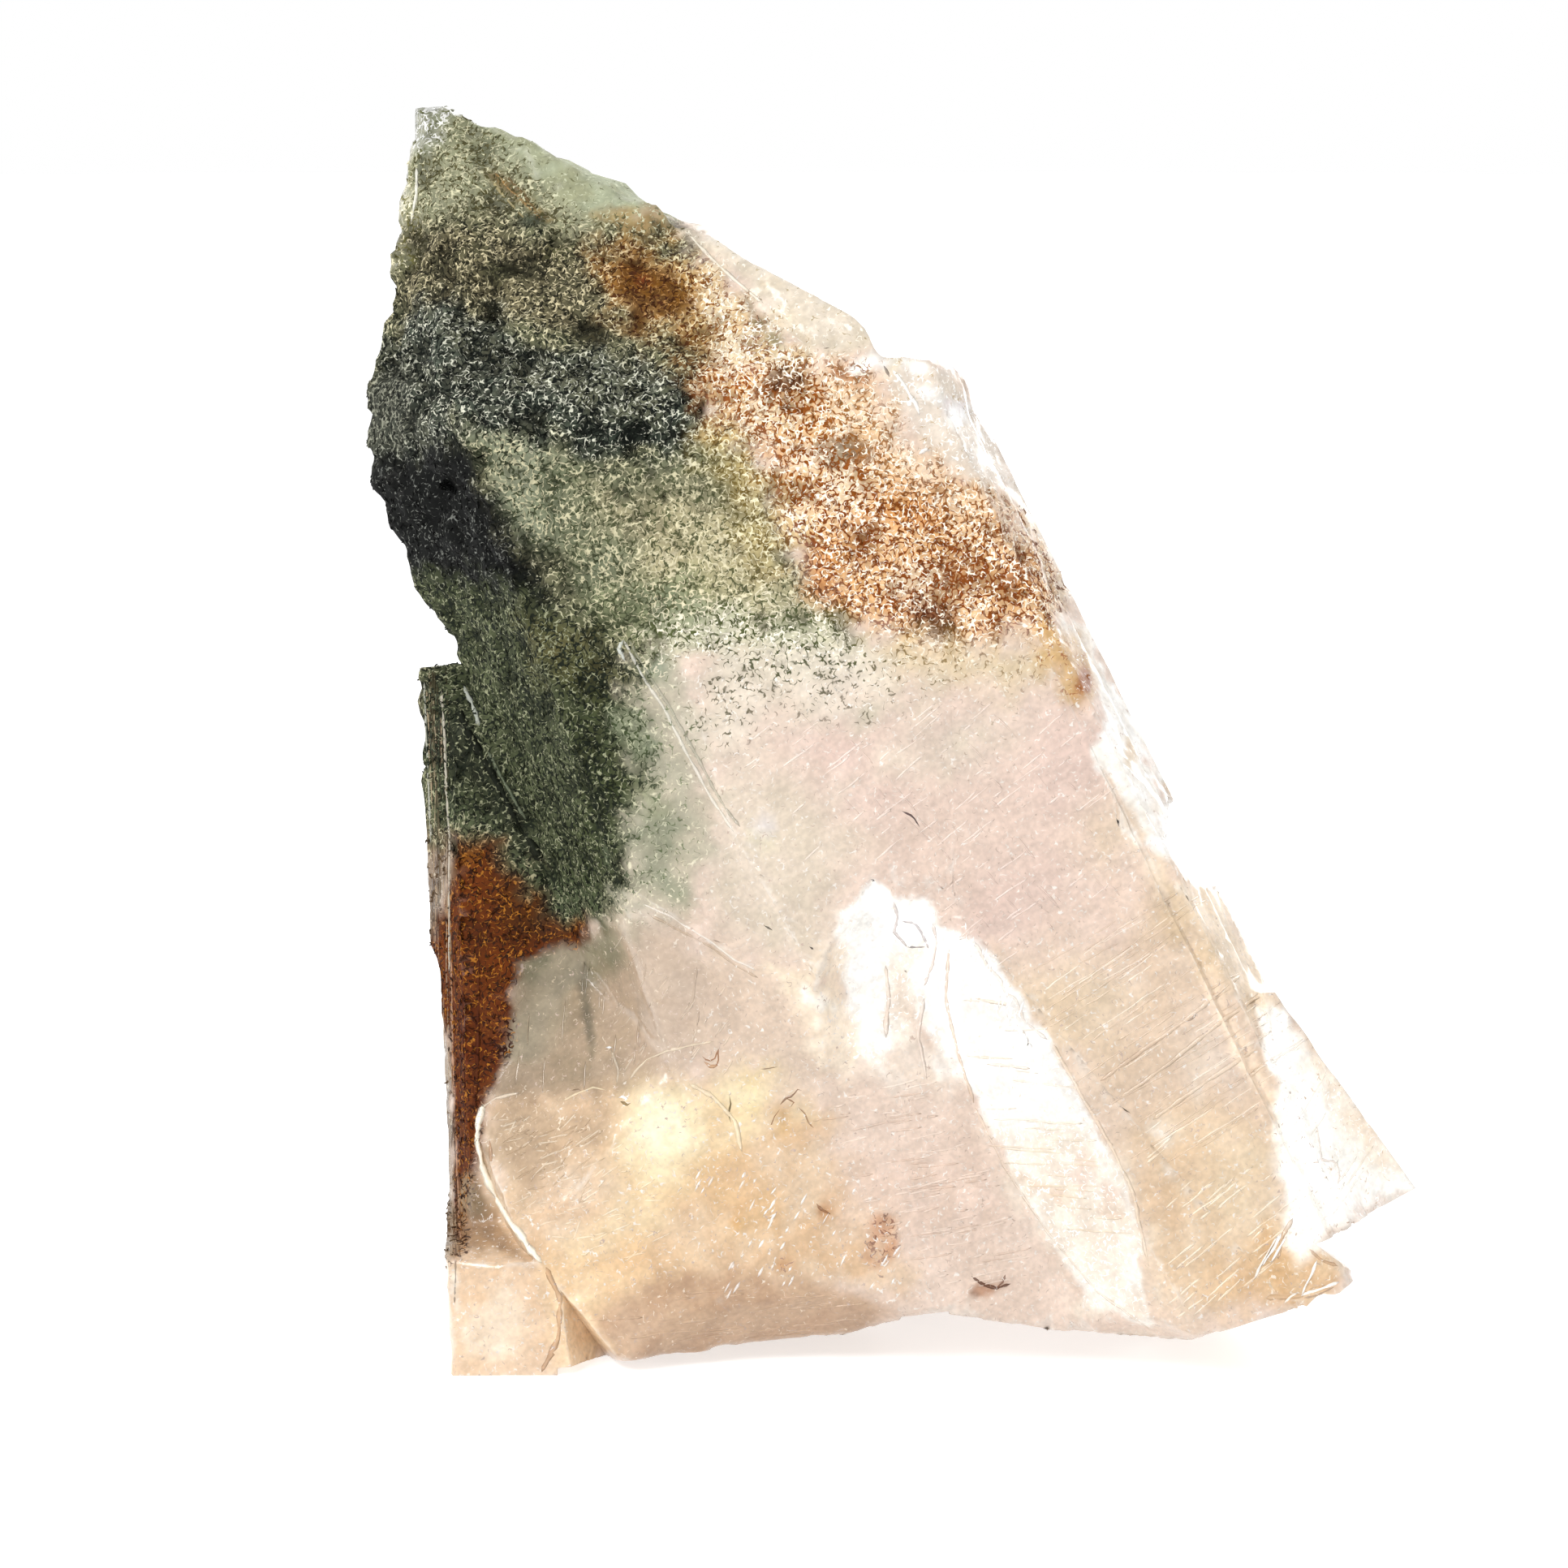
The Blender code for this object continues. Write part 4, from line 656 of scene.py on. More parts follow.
CREASES = [
    # chipped, raised rim of the plate at the lower left with a painted highlight along it, and painted shade
    # beside it
    Crease([(-22.5, 15.2), (-22.8, 14.1), (-22.8, 12.9), (-22.5, 11.5), (-21.9, 10.2), (-21, 8.7),
            (-20.1, 7.4), (-19.3, 6.4)], (278, 270, 250), 0.95, 0.26, rise=0.2),
    Crease([(-22.2, 13.2), (-22.1, 11.6), (-21.8, 10.6)], (186, 140, 104), 0.6, 0.14),
    Crease([(-22.7, 14.9), (-21.8, 15.5), (-20.5, 15.8)], (244, 228, 206), 0.7, 0.13, rise=0.05),
    # edge of the second crystal in front, light on its left side and shaded on its right
    Crease([(-14.8, 40.7), (-13.8, 38.8), (-12.4, 36.6), (-11.2, 34.2), (-9.8, 31.7), (-8.7, 30.1)],
            (248, 244, 232), 0.55, 0.1, rise=0.03),
    Crease([(-14.5, 40.7), (-13.5, 38.9), (-12.1, 36.7), (-10.8, 34.3), (-9.5, 31.9), (-8.4, 30.4)],
            (166, 164, 146), 0.55, 0.11),
    Crease([(-14.8, 40.7), (-15.1, 40.2), (-14.7, 39.5)], (236, 240, 232), 0.7, 0.16, rise=0.08),
    # ledge above the clear window: a painted highlight along its edge and painted shade below it
    Crease([(-13.8, 26.2), (-12.1, 25.4), (-10.3, 24.3), (-8.7, 23.1), (-7.5, 22.5)], (252, 244, 232), 0.75,
            0.08, rise=0.02),
    Crease([(-13.4, 25.6), (-11.7, 24.7), (-10, 23.8), (-8.5, 22.7), (-7.4, 22.1)], (196, 172, 144), 0.5,
            0.08),
    # groove down the green side, and the rim beside it
    Crease([(-24, 37), (-22.8, 34.6), (-21.4, 32.1), (-20.3, 30.1), (-19.3, 28.5)], (16, 20, 12), 0.85,
            0.3),
    Crease([(-23.6, 38.2), (-23.1, 37.1), (-22.7, 35.9)], (196, 200, 188), 0.8, 0.2, rise=0.05),
    Crease([(-22.3, 34.6), (-21.2, 32.6), (-20.1, 30.7)], (120, 128, 106), 0.6, 0.14, rise=0.06),
    # growth lines along the side crystal's outer face
    Crease([(-25.4, 38.6), (-25.3, 35.7), (-25, 31.3), (-24.9, 25.9)], (92, 82, 62), 0.7, 0.14),
    Crease([(-24.8, 37.9), (-24.6, 33.9), (-24.4, 29.5), (-24.4, 22.3)], (212, 204, 186), 0.7, 0.14,
            rise=0.04),
    Crease([(-25.8, 38.4), (-25.6, 34.4), (-25.4, 29.5)], (206, 204, 190), 0.6, 0.12),
    Crease([(-24.3, 23.2), (-24.2, 17.9), (-24, 12.5), (-23.8, 7.6)], (206, 160, 128), 0.6, 0.13),
    Crease([(-23.7, 22.3), (-23.6, 17), (-23.5, 12.1)], (70, 28, 14), 0.6, 0.16),
    Crease([(-22.8, 23.2), (-22.8, 18.8), (-23, 14.7)], (70, 32, 16), 0.5, 0.16),
    # cracks and stains of the broken foot
    Crease([(4.3, 5.7), (5, 5.2), (5.7, 5), (6.5, 5.3)], (96, 56, 36), 0.85, 0.14),
    Crease([(5.7, 5), (6.1, 5.4), (6.2, 5.8)], (120, 76, 52), 0.7, 0.1),
    Crease([(-10.5, 17.8), (-10.2, 17.5), (-9.8, 17.6), (-9.6, 18.2), (-9.6, 17.4), (-9.9, 17.1)],
            (160, 108, 66), 0.8, 0.06),
    Crease([(-10.4, 17.5), (-10, 17.2), (-9.6, 17.3)], (196, 142, 90), 0.6, 0.09),
    Crease([(-9, 15.7), (-8.9, 15.2), (-9, 14.6), (-8.9, 14.1)], (96, 84, 46), 0.85, 0.07),
    Crease([(-6.2, 15.1), (-5.9, 15.5), (-5.5, 15.6), (-5.2, 16), (-5, 15.9)], (120, 80, 48), 0.8, 0.07),
    Crease([(-5.9, 15.5), (-5.4, 15.3), (-5.6, 15)], (140, 96, 60), 0.8, 0.06),
    Crease([(-6.2, 14.9), (-6.5, 14.5), (-6.7, 14), (-6.5, 14.1)], (140, 96, 62), 0.8, 0.06),
    Crease([(-5.2, 15), (-4.8, 14.6), (-4.6, 14.1), (-4.3, 13.8)], (150, 104, 70), 0.7, 0.05),
    Crease([(-7.3, 17.1), (-6.9, 17.1), (-6.3, 17.2)], (110, 80, 56), 0.7, 0.05),
    Crease([(-15.8, 18.3), (-15.5, 18.3), (-15.4, 18.3)], (276, 274, 272), 0.95, 0.1, rise=0.06),
    Crease([(-15.5, 18.2), (-15.3, 17.6), (-15.1, 17), (-15.2, 16.2)], (200, 182, 156), 0.7, 0.09),
    Crease([(-15.1, 15.5), (-14.9, 15.6), (-14.6, 15.4), (-14.8, 15.3)], (284, 282, 278), 0.95, 0.12,
            rise=0.08),
    Crease([(-15, 15.3), (-14.6, 15.1), (-14.4, 15.2)], (120, 96, 44), 0.8, 0.1),
    Crease([(-4.2, 9.7), (-3.9, 9.3), (-3.4, 9.1)], (140, 92, 60), 0.7, 0.12),
    Crease([(-11.2, 16.3), (-9.8, 15.5), (-8.7, 14.3), (-8.3, 12.5)], (252, 236, 206), 0.6, 0.16,
            rise=0.05),
    Crease([(-18.2, 15.3), (-17.3, 15.8), (-16.5, 16.1), (-15.7, 15.9)], (258, 238, 200), 0.7, 0.09,
            rise=0.04),
    Crease([(-14.5, 16.5), (-14.1, 17.1), (-13.5, 17.6), (-12.6, 18), (-11.2, 18.4), (-9.8, 18.6)],
            (250, 232, 204), 0.7, 0.1, rise=0.04),
    Crease([(-17.7, 15.9), (-17.3, 16), (-17.1, 15.9)], (120, 90, 62), 0.7, 0.06),
    Crease([(-19.1, 6.2), (-18.3, 4.5), (-18.4, 2.2), (-19.3, 0.4)], (196, 150, 112), 0.6, 0.2),
    # upper border of the shaded scoop
    Crease([(-18.3, 1.4), (-15.8, 3.9), (-13.8, 5.5), (-12.1, 5.9), (-8.9, 6.2), (-6.2, 6)],
            (250, 226, 194), 0.6, 0.2, rise=0.08),
    # hairs and specks of dark needle in the milk
    Crease([(0.5, 31.3), (1.1, 31), (1.5, 30.4)], (70, 48, 52), 0.9, 0.07),
    Crease([(-1.2, 27.5), (-1, 27.4)], (50, 40, 40), 0.95, 0.09),
    Crease([(-7.1, 25), (-6.6, 24.7)], (80, 76, 66), 0.85, 0.08),
    Crease([(-4.6, 23.8), (-4.3, 23.6)], (60, 50, 50), 0.9, 0.08),
    Crease([(-10.8, 4.8), (-10.6, 4.8)], (60, 44, 36), 0.9, 0.09),
    # fracture edges among the white chips
    Crease([(0, 26.5), (0.3, 25.5), (0.1, 24.6), (0.8, 23.8)], (206, 190, 186), 0.7, 0.1),
    Crease([(0.5, 25.2), (1.2, 25.1), (1.6, 24.6), (2, 23.6)], (180, 168, 172), 0.7, 0.1),
    Crease([(0.8, 23.8), (1.8, 23.8)], (96, 90, 96), 0.75, 0.08),
    Crease([(2.2, 25.1), (2.4, 24.1), (2.2, 22.8), (1.7, 21.6)], (226, 206, 194), 0.7, 0.13),
    Crease([(-0.4, 22.8), (-0.2, 21), (-0.4, 18.8)], (236, 214, 196), 0.6, 0.16),
    Crease([(1.7, 21), (1.4, 18.8), (1.9, 16.5)], (238, 220, 206), 0.6, 0.14),
    Crease([(3.1, 23.7), (2.9, 21), (3.6, 17.9), (4.5, 15.2)], (234, 206, 180), 0.7, 0.13),
    Crease([(4.5, 21), (6.5, 20.6)], (250, 232, 206), 0.6, 0.12),
    Crease([(5.1, 17.4), (7.6, 17.1)], (248, 228, 204), 0.5, 0.1),
    # jagged border of the lens face
    Crease([(3.8, 24.6), (4.7, 23.8), (5.2, 22.8), (5.9, 22.1), (6.2, 21.3), (6.8, 21), (7.2, 19.8),
            (8.5, 18.7)], (240, 222, 206), 0.5, 0.1),
    Crease([(8.8, 18.5), (10.3, 15.8), (12, 12.9), (13.2, 10.3), (14.1, 6.2)], (244, 222, 196), 0.4, 0.12),
    Crease([(4.5, 15), (6.2, 11.6), (8.5, 8.1), (11.2, 4.9), (14.2, 2.7)], (244, 222, 198), 0.35, 0.1),
    # growth lines across the lower right body
    Crease([(11.4, 16.4), (13.9, 18.2), (16.7, 20.2)], (212, 184, 158), 0.6, 0.13),
    Crease([(12.5, 15.5), (15.2, 17.4), (17.9, 19.6), (20.4, 21.3)], (226, 200, 172), 0.5, 0.16),
    Crease([(13.4, 17.9), (16.1, 19.8), (19.2, 22.3)], (230, 206, 182), 0.45, 0.14),
    Crease([(14.3, 14.3), (17.4, 16.5), (20.1, 18.3)], (232, 208, 180), 0.4, 0.16),
    Crease([(16.2, 19.7), (16.7, 20.1)], (150, 124, 104), 0.7, 0.09),
    # fissures at the lower right corner
    Crease([(21.4, 8.1), (21.1, 7.4), (20.6, 6.7), (20.3, 6.2)], (282, 279, 274), 0.95, 0.1, rise=0.08),
    Crease([(21.7, 7.9), (21.2, 7.1), (20.8, 6.4)], (282, 279, 274), 0.95, 0.09, rise=0.08),
    Crease([(21.2, 7.9), (20.7, 7.1), (20.2, 6.2), (19.9, 5.5)], (276, 270, 262), 0.9, 0.08, rise=0.08),
    Crease([(21.5, 7.6), (21.2, 6.8), (20.6, 6.1)], (196, 176, 156), 0.7, 0.05),
    Crease([(21, 7.4), (20.5, 6.7), (20.1, 6)], (206, 182, 158), 0.7, 0.05),
    Crease([(22, 8.9), (21.4, 7.8), (21.2, 6.6)], (206, 172, 140), 0.6, 0.12),
    Crease([(23.4, 6.6), (23.1, 5.9), (22.7, 5.1), (22.5, 4.6)], (280, 276, 270), 0.95, 0.09, rise=0.08),
    Crease([(22.4, 4.6), (22.8, 4.8), (23.3, 4.9), (23.9, 5.1), (24.6, 5.4)], (276, 272, 266), 0.9, 0.1,
            rise=0.08),
    Crease([(22.6, 4.5), (23.1, 4.6), (23.7, 4.8), (24.3, 5.1)], (170, 146, 128), 0.7, 0.06),
    Crease([(21.5, 4.2), (21.9, 4.6), (22.3, 4.8)], (276, 270, 260), 0.85, 0.09, rise=0.05),
    Crease([(22.9, 7.2), (23.6, 6.6), (24.5, 6.2)], (190, 150, 116), 0.6, 0.13),
    Crease([(20.5, 4.5), (22.3, 4.6), (23.8, 5.2)], (214, 178, 140), 0.5, 0.16),
    # edges of the wedge crystal
    Crease([(23.3, 14), (23.5, 12.9), (23.6, 12)], (250, 232, 220), 0.6, 0.14),
    Crease([(23.1, 11.9), (23.7, 12.1), (24.4, 12), (24.6, 11.4), (24.5, 10.7)], (240, 218, 202), 0.6,
            0.12),
    # borders of the high clear faces
    Crease([(-0.5, 55.8), (-0.3, 55.5), (-0.1, 55.1)], (92, 76, 66), 0.75, 0.09),
    Crease([(0, 55.6), (0.5, 54.9), (1.2, 53.8), (1.5, 53)], (276, 272, 266), 0.7, 0.12, rise=0.05),
    Crease([(3.8, 53.6), (4, 53.3)], (110, 92, 80), 0.7, 0.09),
    Crease([(1.4, 50.9), (1.8, 51.2), (2.1, 51.1)], (276, 272, 266), 0.7, 0.14, rise=0.04),
    Crease([(-11.2, 63), (-10, 61.7), (-8.7, 60.5), (-7.1, 59.2)], (252, 244, 226), 0.7, 0.14, rise=0.06),
    Crease([(-13, 64.6), (-12.1, 63.8), (-11.1, 62.9)], (250, 248, 240), 0.7, 0.14, rise=0.05),
    # scratches and glints near the point
    Crease([(-21.9, 66.4), (-21.1, 65.5), (-20, 64.5), (-19.3, 63.8)], (160, 124, 78), 0.6, 0.09),
    Crease([(-21.3, 66.3), (-20.4, 65.3), (-19.5, 64.2)], (96, 74, 44), 0.7, 0.1),
    Crease([(-22.1, 66), (-21.2, 64.9), (-20.2, 63.8)], (176, 158, 112), 0.6, 0.1),
    Crease([(-26.2, 66.7), (-26.2, 65.2), (-26.5, 63.6)], (255, 252, 238), 0.85, 0.16, rise=0.08),
    Crease([(-26.5, 68.5), (-26.7, 67.4), (-27, 66.3)], (250, 250, 246), 0.7, 0.16, rise=0.06),
    Crease([(-26.1, 69.6), (-25.6, 69.9), (-25, 69.9)], (250, 250, 250), 0.7, 0.14, rise=0.06),
]
STREAKS = [
    # growth lines over the right of the body
    Streaks([(8.9, 23.2), (14.7, 27.2), (18.8, 26.3), (21.9, 18.3), (20.5, 13.4), (14.3, 12.5),
             (10.7, 16.5)], (206, 178, 152), count=34, turn=33, shortest=2, longest=8, cover=0.4,
             width=0.06),
    Streaks([(8.9, 23.2), (14.7, 27.2), (18.8, 26.3), (21.9, 18.3), (20.5, 13.4), (14.3, 12.5),
             (10.7, 16.5)], (262, 250, 232), count=26, turn=33, shortest=1.5, longest=6, cover=0.45,
             width=0.06),
    # faint veils through the rosy middle
    Streaks([(-8.9, 35.7), (8.9, 37.5), (14.3, 28.6), (6.7, 22.8), (-4.5, 28.6)], (262, 246, 236), count=60,
             turn=38, shortest=0.6, longest=2.4, cover=0.4, width=0.07),
    Streaks([(-8.9, 35.7), (8.9, 37.5), (14.3, 28.6), (6.7, 22.8), (-4.5, 28.6)], (204, 178, 168), count=36,
             turn=-48, shortest=0.5, longest=2, cover=0.35, width=0.06),
    # level lines over the bright lens
    Streaks([(4, 23.2), (8.5, 17.9), (11.6, 12.5), (12.9, 7.1), (8.9, 8), (5.1, 15.2)], (244, 222, 190),
             count=26, turn=-3, shortest=1, longest=4.5, cover=0.5, width=0.06),
    # jagged teeth of the lens's painted highlight along its upper right border
    Streaks([(3.2, 24.6), (4, 25), (7.5, 19.8), (6.9, 19.3)], (286, 284, 282), count=34, turn=84,
             shortest=0.4, longest=1.2, cover=0.95, width=0.07, rise=0.03, stray=8),
    # close upright lines on the side crystal's outer face
    Streaks([(-25.6, 37.9), (-24.5, 37.9), (-24, 7.1), (-24.8, 7.1), (-25.4, 26.8)], (196, 172, 142),
             count=34, turn=91, shortest=2, longest=9, cover=0.6, width=0.07),
    Streaks([(-25.5, 37.9), (-24.3, 37.9), (-23.7, 7.1), (-24.6, 7.1), (-25.4, 26.8)], (52, 30, 18),
             count=34, turn=91, shortest=2, longest=8, cover=0.7, width=0.08),
    # brushed strokes over the plate at the lower left
    Streaks([(-21.9, 14.7), (-17.9, 14.7), (-13.4, 11.6), (-12.5, 7.1), (-17, 6.2), (-20.5, 9.8)],
             (266, 252, 228), count=90, turn=28, shortest=0.3, longest=1.4, cover=0.5, width=0.06,
             stray=14),
    Streaks([(-21.9, 14.7), (-17.9, 14.7), (-15.2, 13.4), (-17, 9.8), (-20.5, 10.7)], (170, 146, 116),
             count=46, turn=32, shortest=0.3, longest=1.3, cover=0.45, width=0.06, stray=14),
    # short bright glints on the broken foot
    Streaks([(-10.7, 11.6), (-2.7, 11.6), (0.9, 6.2), (-0.9, 4.5), (-8.9, 4.5), (-11.2, 7.1)],
             (282, 280, 278), count=44, turn=60, shortest=0.35, longest=0.9, cover=0.9, width=0.08,
             rise=0.05),
    Streaks([(-4, 16.1), (1.8, 16.5), (8, 6.2), (3.6, 4.5), (-1.8, 8.9)], (264, 246, 232), count=50,
             turn=12, shortest=0.6, longest=2.2, cover=0.45, width=0.07),
    Streaks([(-4, 16.1), (1.8, 16.5), (8, 6.2), (3.6, 4.5), (-1.8, 8.9)], (214, 182, 160), count=30, turn=8,
             shortest=0.6, longest=2.4, cover=0.35, width=0.07),
    # needles in the clear window
    Streaks([(-20.1, 22.8), (-10.7, 23.7), (-10.7, 17.9), (-17.9, 16.5), (-21.4, 16.1)], (150, 130, 106),
             count=18, turn=84, shortest=0.8, longest=2.6, cover=0.3, width=0.07),
    Streaks([(-16.1, 24.6), (-8.9, 22.3), (-8.9, 17), (-15.2, 17)], (244, 228, 206), count=40, turn=58,
             shortest=0.3, longest=1.2, cover=0.4, width=0.06),
    # pale scratches by the right edge
    Streaks([(14.3, 13.4), (20.5, 12.5), (23.2, 6.2), (16.1, 3.6)], (270, 258, 236), count=34, turn=40,
             shortest=0.7, longest=2.6, cover=0.5, width=0.08),
    Streaks([(22.3, 16.5), (24.1, 15.6), (26.8, 10.7), (24.1, 9.4)], (236, 214, 190), count=7, turn=56,
             shortest=1, longest=4, cover=0.45, width=0.07),
    # lines across the scoop under the foot
    Streaks([(-16.1, 3.1), (-10.7, 5.1), (-2.7, 4.5), (-2.7, 2.7), (-10.7, 1.8)], (226, 194, 164), count=24,
             turn=6, shortest=1, longest=4, cover=0.4, width=0.08),
]
PUSHES = [
    # fuller slope up to the point, and the rounded ends of its two high faces with the notch between them
    Push([(-20.5, 68.1), (-11.2, 63.2)], (0.2, 0.38), reach=3),
    Push([(-9.8, 62.3), (-2.7, 58.4)], (0.3, 0.55), reach=2.8),
    Push([(-1, 56.4), (-0.4, 56.3)], (-0.5, -0.6), reach=1.3),
    Push([(2.2, 55.4), (3.8, 54.6)], (0.35, 0.45), reach=1.8),
    # flat crust under the point, over a step
    Push([(-27.4, 61.4), (-27.9, 56.3)], (0.6, 0), reach=1.7),
    Push([(-28, 56.9), (-28.4, 55.2)], (0.5, 0), reach=0.8),
    Push([(-29.3, 54.3), (-29.2, 53.8)], (0.2, 0), reach=0.7),
    Push([(-29, 52.5), (-29, 51.8)], (-0.2, 0), reach=0.8),
    # fuller black side
    Push([(-28.8, 50.9), (-27.7, 46.9), (-25.7, 42.6)], (-0.5, -0.1), reach=1.8),
    # upper part of the side crystal's outer face
    Push([(-25.9, 38.6), (-25.7, 31.3), (-25.4, 24.1)], (-0.6, 0), reach=1.6),
    # chipped lower right corner
    Push([(17.9, 1.7), (20.5, 2.5), (23.4, 3.7)], (-0.05, 0.85), reach=1.7),
]

# Outline of the broken foot, which the fracture left rounded
BROKEN_FOOT = [(-17.9, 24.6), (-10.7, 25.9), (-4.5, 22.1), (-2.2, 22.8), (-1.8, 17), (4, 16.3),
                (13.2, 2.7), (0, 0), (-19.6, 0), (-19.5, 6.4), (-17.9, 8.9), (-17.9, 14.3)]


def linear(seen):
    """A tone as it looks on screen, as the stone's own linear colour."""
    return np.array([TONE_LEVEL * ((c / 255 + 0.055) / 1.055) ** 2.4 for c in seen])


def smooth(low, high, value):
    """0 below low, 1 above high, and a soft rise between."""
    t = np.clip((value - low) / (high - low), 0, 1)
    return t * t * (3 - 2 * t)


def front_view(points):
    """Across, up and depth behind the front face in the front view, in mm, for points in metres."""
    sight = points / MM - np.array(EYE)
    depth = sight @ np.array((0, math.cos(LOOKS_DOWN), -math.sin(LOOKS_DOWN)))
    up = sight @ np.array((0, math.sin(LOOKS_DOWN), math.cos(LOOKS_DOWN)))
    scale = TO_FRONT_PLANE / depth
    return VIEW_CENTRE[0] + sight[:, 0] * scale, VIEW_CENTRE[1] + up * scale, depth - TO_FRONT_FACE


def away_from(line, across, up):
    """Distance of places from a line of points, in mm."""
    nearest = np.full(len(across), 1e9)
    for (ax, ay), (bx, by) in zip(line, line[1:]):
        run, rise = bx - ax, by - ay
        share = np.clip(((across - ax) * run + (up - ay) * rise) / (run * run + rise * rise), 0, 1)
        nearest = np.minimum(nearest, np.hypot(across - ax - share * run, up - ay - share * rise))
    return nearest


def close_by(line, reach, across, up):
    """The places inside the upright box around a line of points, widened by a reach in mm."""
    low, high = np.min(line, axis=0) - reach, np.max(line, axis=0) + reach
    return np.flatnonzero((across > low[0]) & (across < high[0]) & (up > low[1]) & (up < high[1]))


def inside_by(outline, across, up):
    """How far places lie inside a closed outline, in mm; negative outside."""
    closed = outline + outline[:1]
    inside = np.zeros(len(across), bool)
    for (ax, ay), (bx, by) in zip(closed, closed[1:]):
        crossed = (ay > up) != (by > up)
        inside ^= crossed & (across < ax + (up - ay) * (bx - ax) / ((by - ay) or 1e-9))
    nearest = away_from(closed, across, up)
    return np.where(inside, nearest, -nearest)


def drift(points, size, seed):
    """Soft random swells of about the given size in mm, from -1 to 1, one for each point in metres."""
    shift = Vector((seed * 17.3, seed * 5.1, seed * 9.7))
    return np.array([noise.noise(Vector(p) / (size * MM) + shift) for p in points])


def swells(points, layers):
    """Random swells added up from layers of height, size in mm and seed."""
    return sum(height * drift(points, size, seed) for height, size, seed in layers)


def clouds(points, size, seed):
    """Cloudy pattern, 0 to 1, with swells of about the given size in mm."""
    shift = Vector((seed * 11.1, seed * 7.7, seed * 3.3))
    raw = np.array([noise.fractal(Vector(p) / (size * MM) + shift, 0.8, 2.1, 3) for p in points])
    return smooth(-0.3, 0.3, raw)


def wandered(points):
    """Front-view places that waver by chance, more towards the back, and how ragged outlines are there."""
    across, up, depth = front_view(points)
    behind = smooth(*WANDER_DEPTHS, depth)
    across = across + drift(points, WANDER_SIZE, 1) * (WANDER_FRONT + WANDER_BEHIND * behind)
    up = up + drift(points, WANDER_SIZE, 2) * (WANDER_FRONT + WANDER_BEHIND * behind)
    return across, up, swells(points, RAGGED_EDGE)


def within(zone, across, up, ragged):
    """The places near a zone, and how far inside its ragged outline each lies, in mm."""
    near = close_by(zone.outline, zone.fade + 1.6 * zone.ragged, across, up)
    return near, inside_by(zone.outline, across[near], up[near]) + zone.ragged * ragged[near]


def paint(points):
    """The stone's tints and finish at a set of points: a dictionary of one array for each quality."""
    across, up, ragged = wandered(points)
    mottles = {size: clouds(points, size, 5 + i) for i, size in enumerate(MOTTLE_SIZES)}
    count = len(points)
    veil = mottles[MOTTLE_SIZES[-1]][:, None]
    kinds = {"ground": linear(MILK[0]) * (1 - veil) + linear(MILK[1]) * veil}
    for kind, (*seen, share) in (("fleck", WHITE_FLECKS), ("speck", FINE_SPECKS)):
        kinds[kind + "_tone"] = np.tile(linear(seen), (count, 1))
        kinds[kind + "ed"] = np.full(count, share)
    for kind, value in PLAIN_FINISH.items():
        kinds[kind] = np.full(count, value)

    def lay(near, share, kind, value):
        if kinds[kind].ndim == 2:
            share = share[:, None]
        kinds[kind][near] = kinds[kind][near] * (1 - share) + value * share

    for zone in ZONES:
        near, inside = within(zone, across, up, ragged)
        share = zone.cover * smooth(-zone.fade, zone.fade, inside)
        mix = mottles[zone.mottle][near, None]
        lay(near, share, "ground", linear(zone.tone) * (1 - mix) + linear(zone.other_tone) * mix)
        for kind, given in (("fleck", zone.flecks), ("speck", zone.specks)):
            if given:
                lay(near, share, kind + "_tone", linear(given[:3]))
                lay(near, share, kind + "ed", given[3])
        for kind in PLAIN_FINISH:
            value = getattr(zone, kind)
            if value is not None:
                lay(near, share, kind, value)
    return kinds


def wanted_size(middles):
    """Longest edge wanted at places given in metres, in mm: small on the crust and at crisp outlines."""
    across, up, ragged = wandered(middles)
    depth = front_view(middles)[2]
    size = np.where((up > CRUST_FROM) & (across < 0), CRUST_CUT, PLAIN_CUT)
    size = size * (1 + COARSER_BEHIND * smooth(*COARSER_DEPTHS, depth))
    for zone in ZONES:
        if zone.fade < CRISP_FADE and zone.cover > CRISP_COVER:
            near, inside = within(zone, across, up, ragged)
            crisp = (np.abs(inside) < zone.fade + CRISP_MARGIN) & (depth[near] < CRISP_DEPTH)
            size[near[crisp]] = EDGE_CUT
    return size


def in_valley(vert):
    return any(len(e.link_faces) == 2 and e.calc_face_angle_signed(0) < -VALLEY_ANGLE
               for e in vert.link_edges)


def soften(bm):
    """Rounds the broken foot, and fills the valleys between grown-together crystals, above the floor."""
    for _ in range(SOFTENING):
        above = [v for v in bm.verts if v.co.z > SOFTENED_FROM * MM]
        across, up, depth = front_view(np.array([v.co for v in above]))
        broken = (inside_by(BROKEN_FOOT, across, up) > 0) & (depth < BROKEN_DEPTH)
        chosen = [v for v, round_it, free in zip(above, broken, across > SHARP_LEFT)
                  if free and (round_it or in_valley(v))]
        bmesh.ops.smooth_vert(bm, verts=chosen, factor=0.5,
                              use_axis_x=True, use_axis_y=True, use_axis_z=True)


def on_rim(vert):
    return any(e.is_convex and e.calc_face_angle(0) > RIM_ANGLE for e in vert.link_edges)


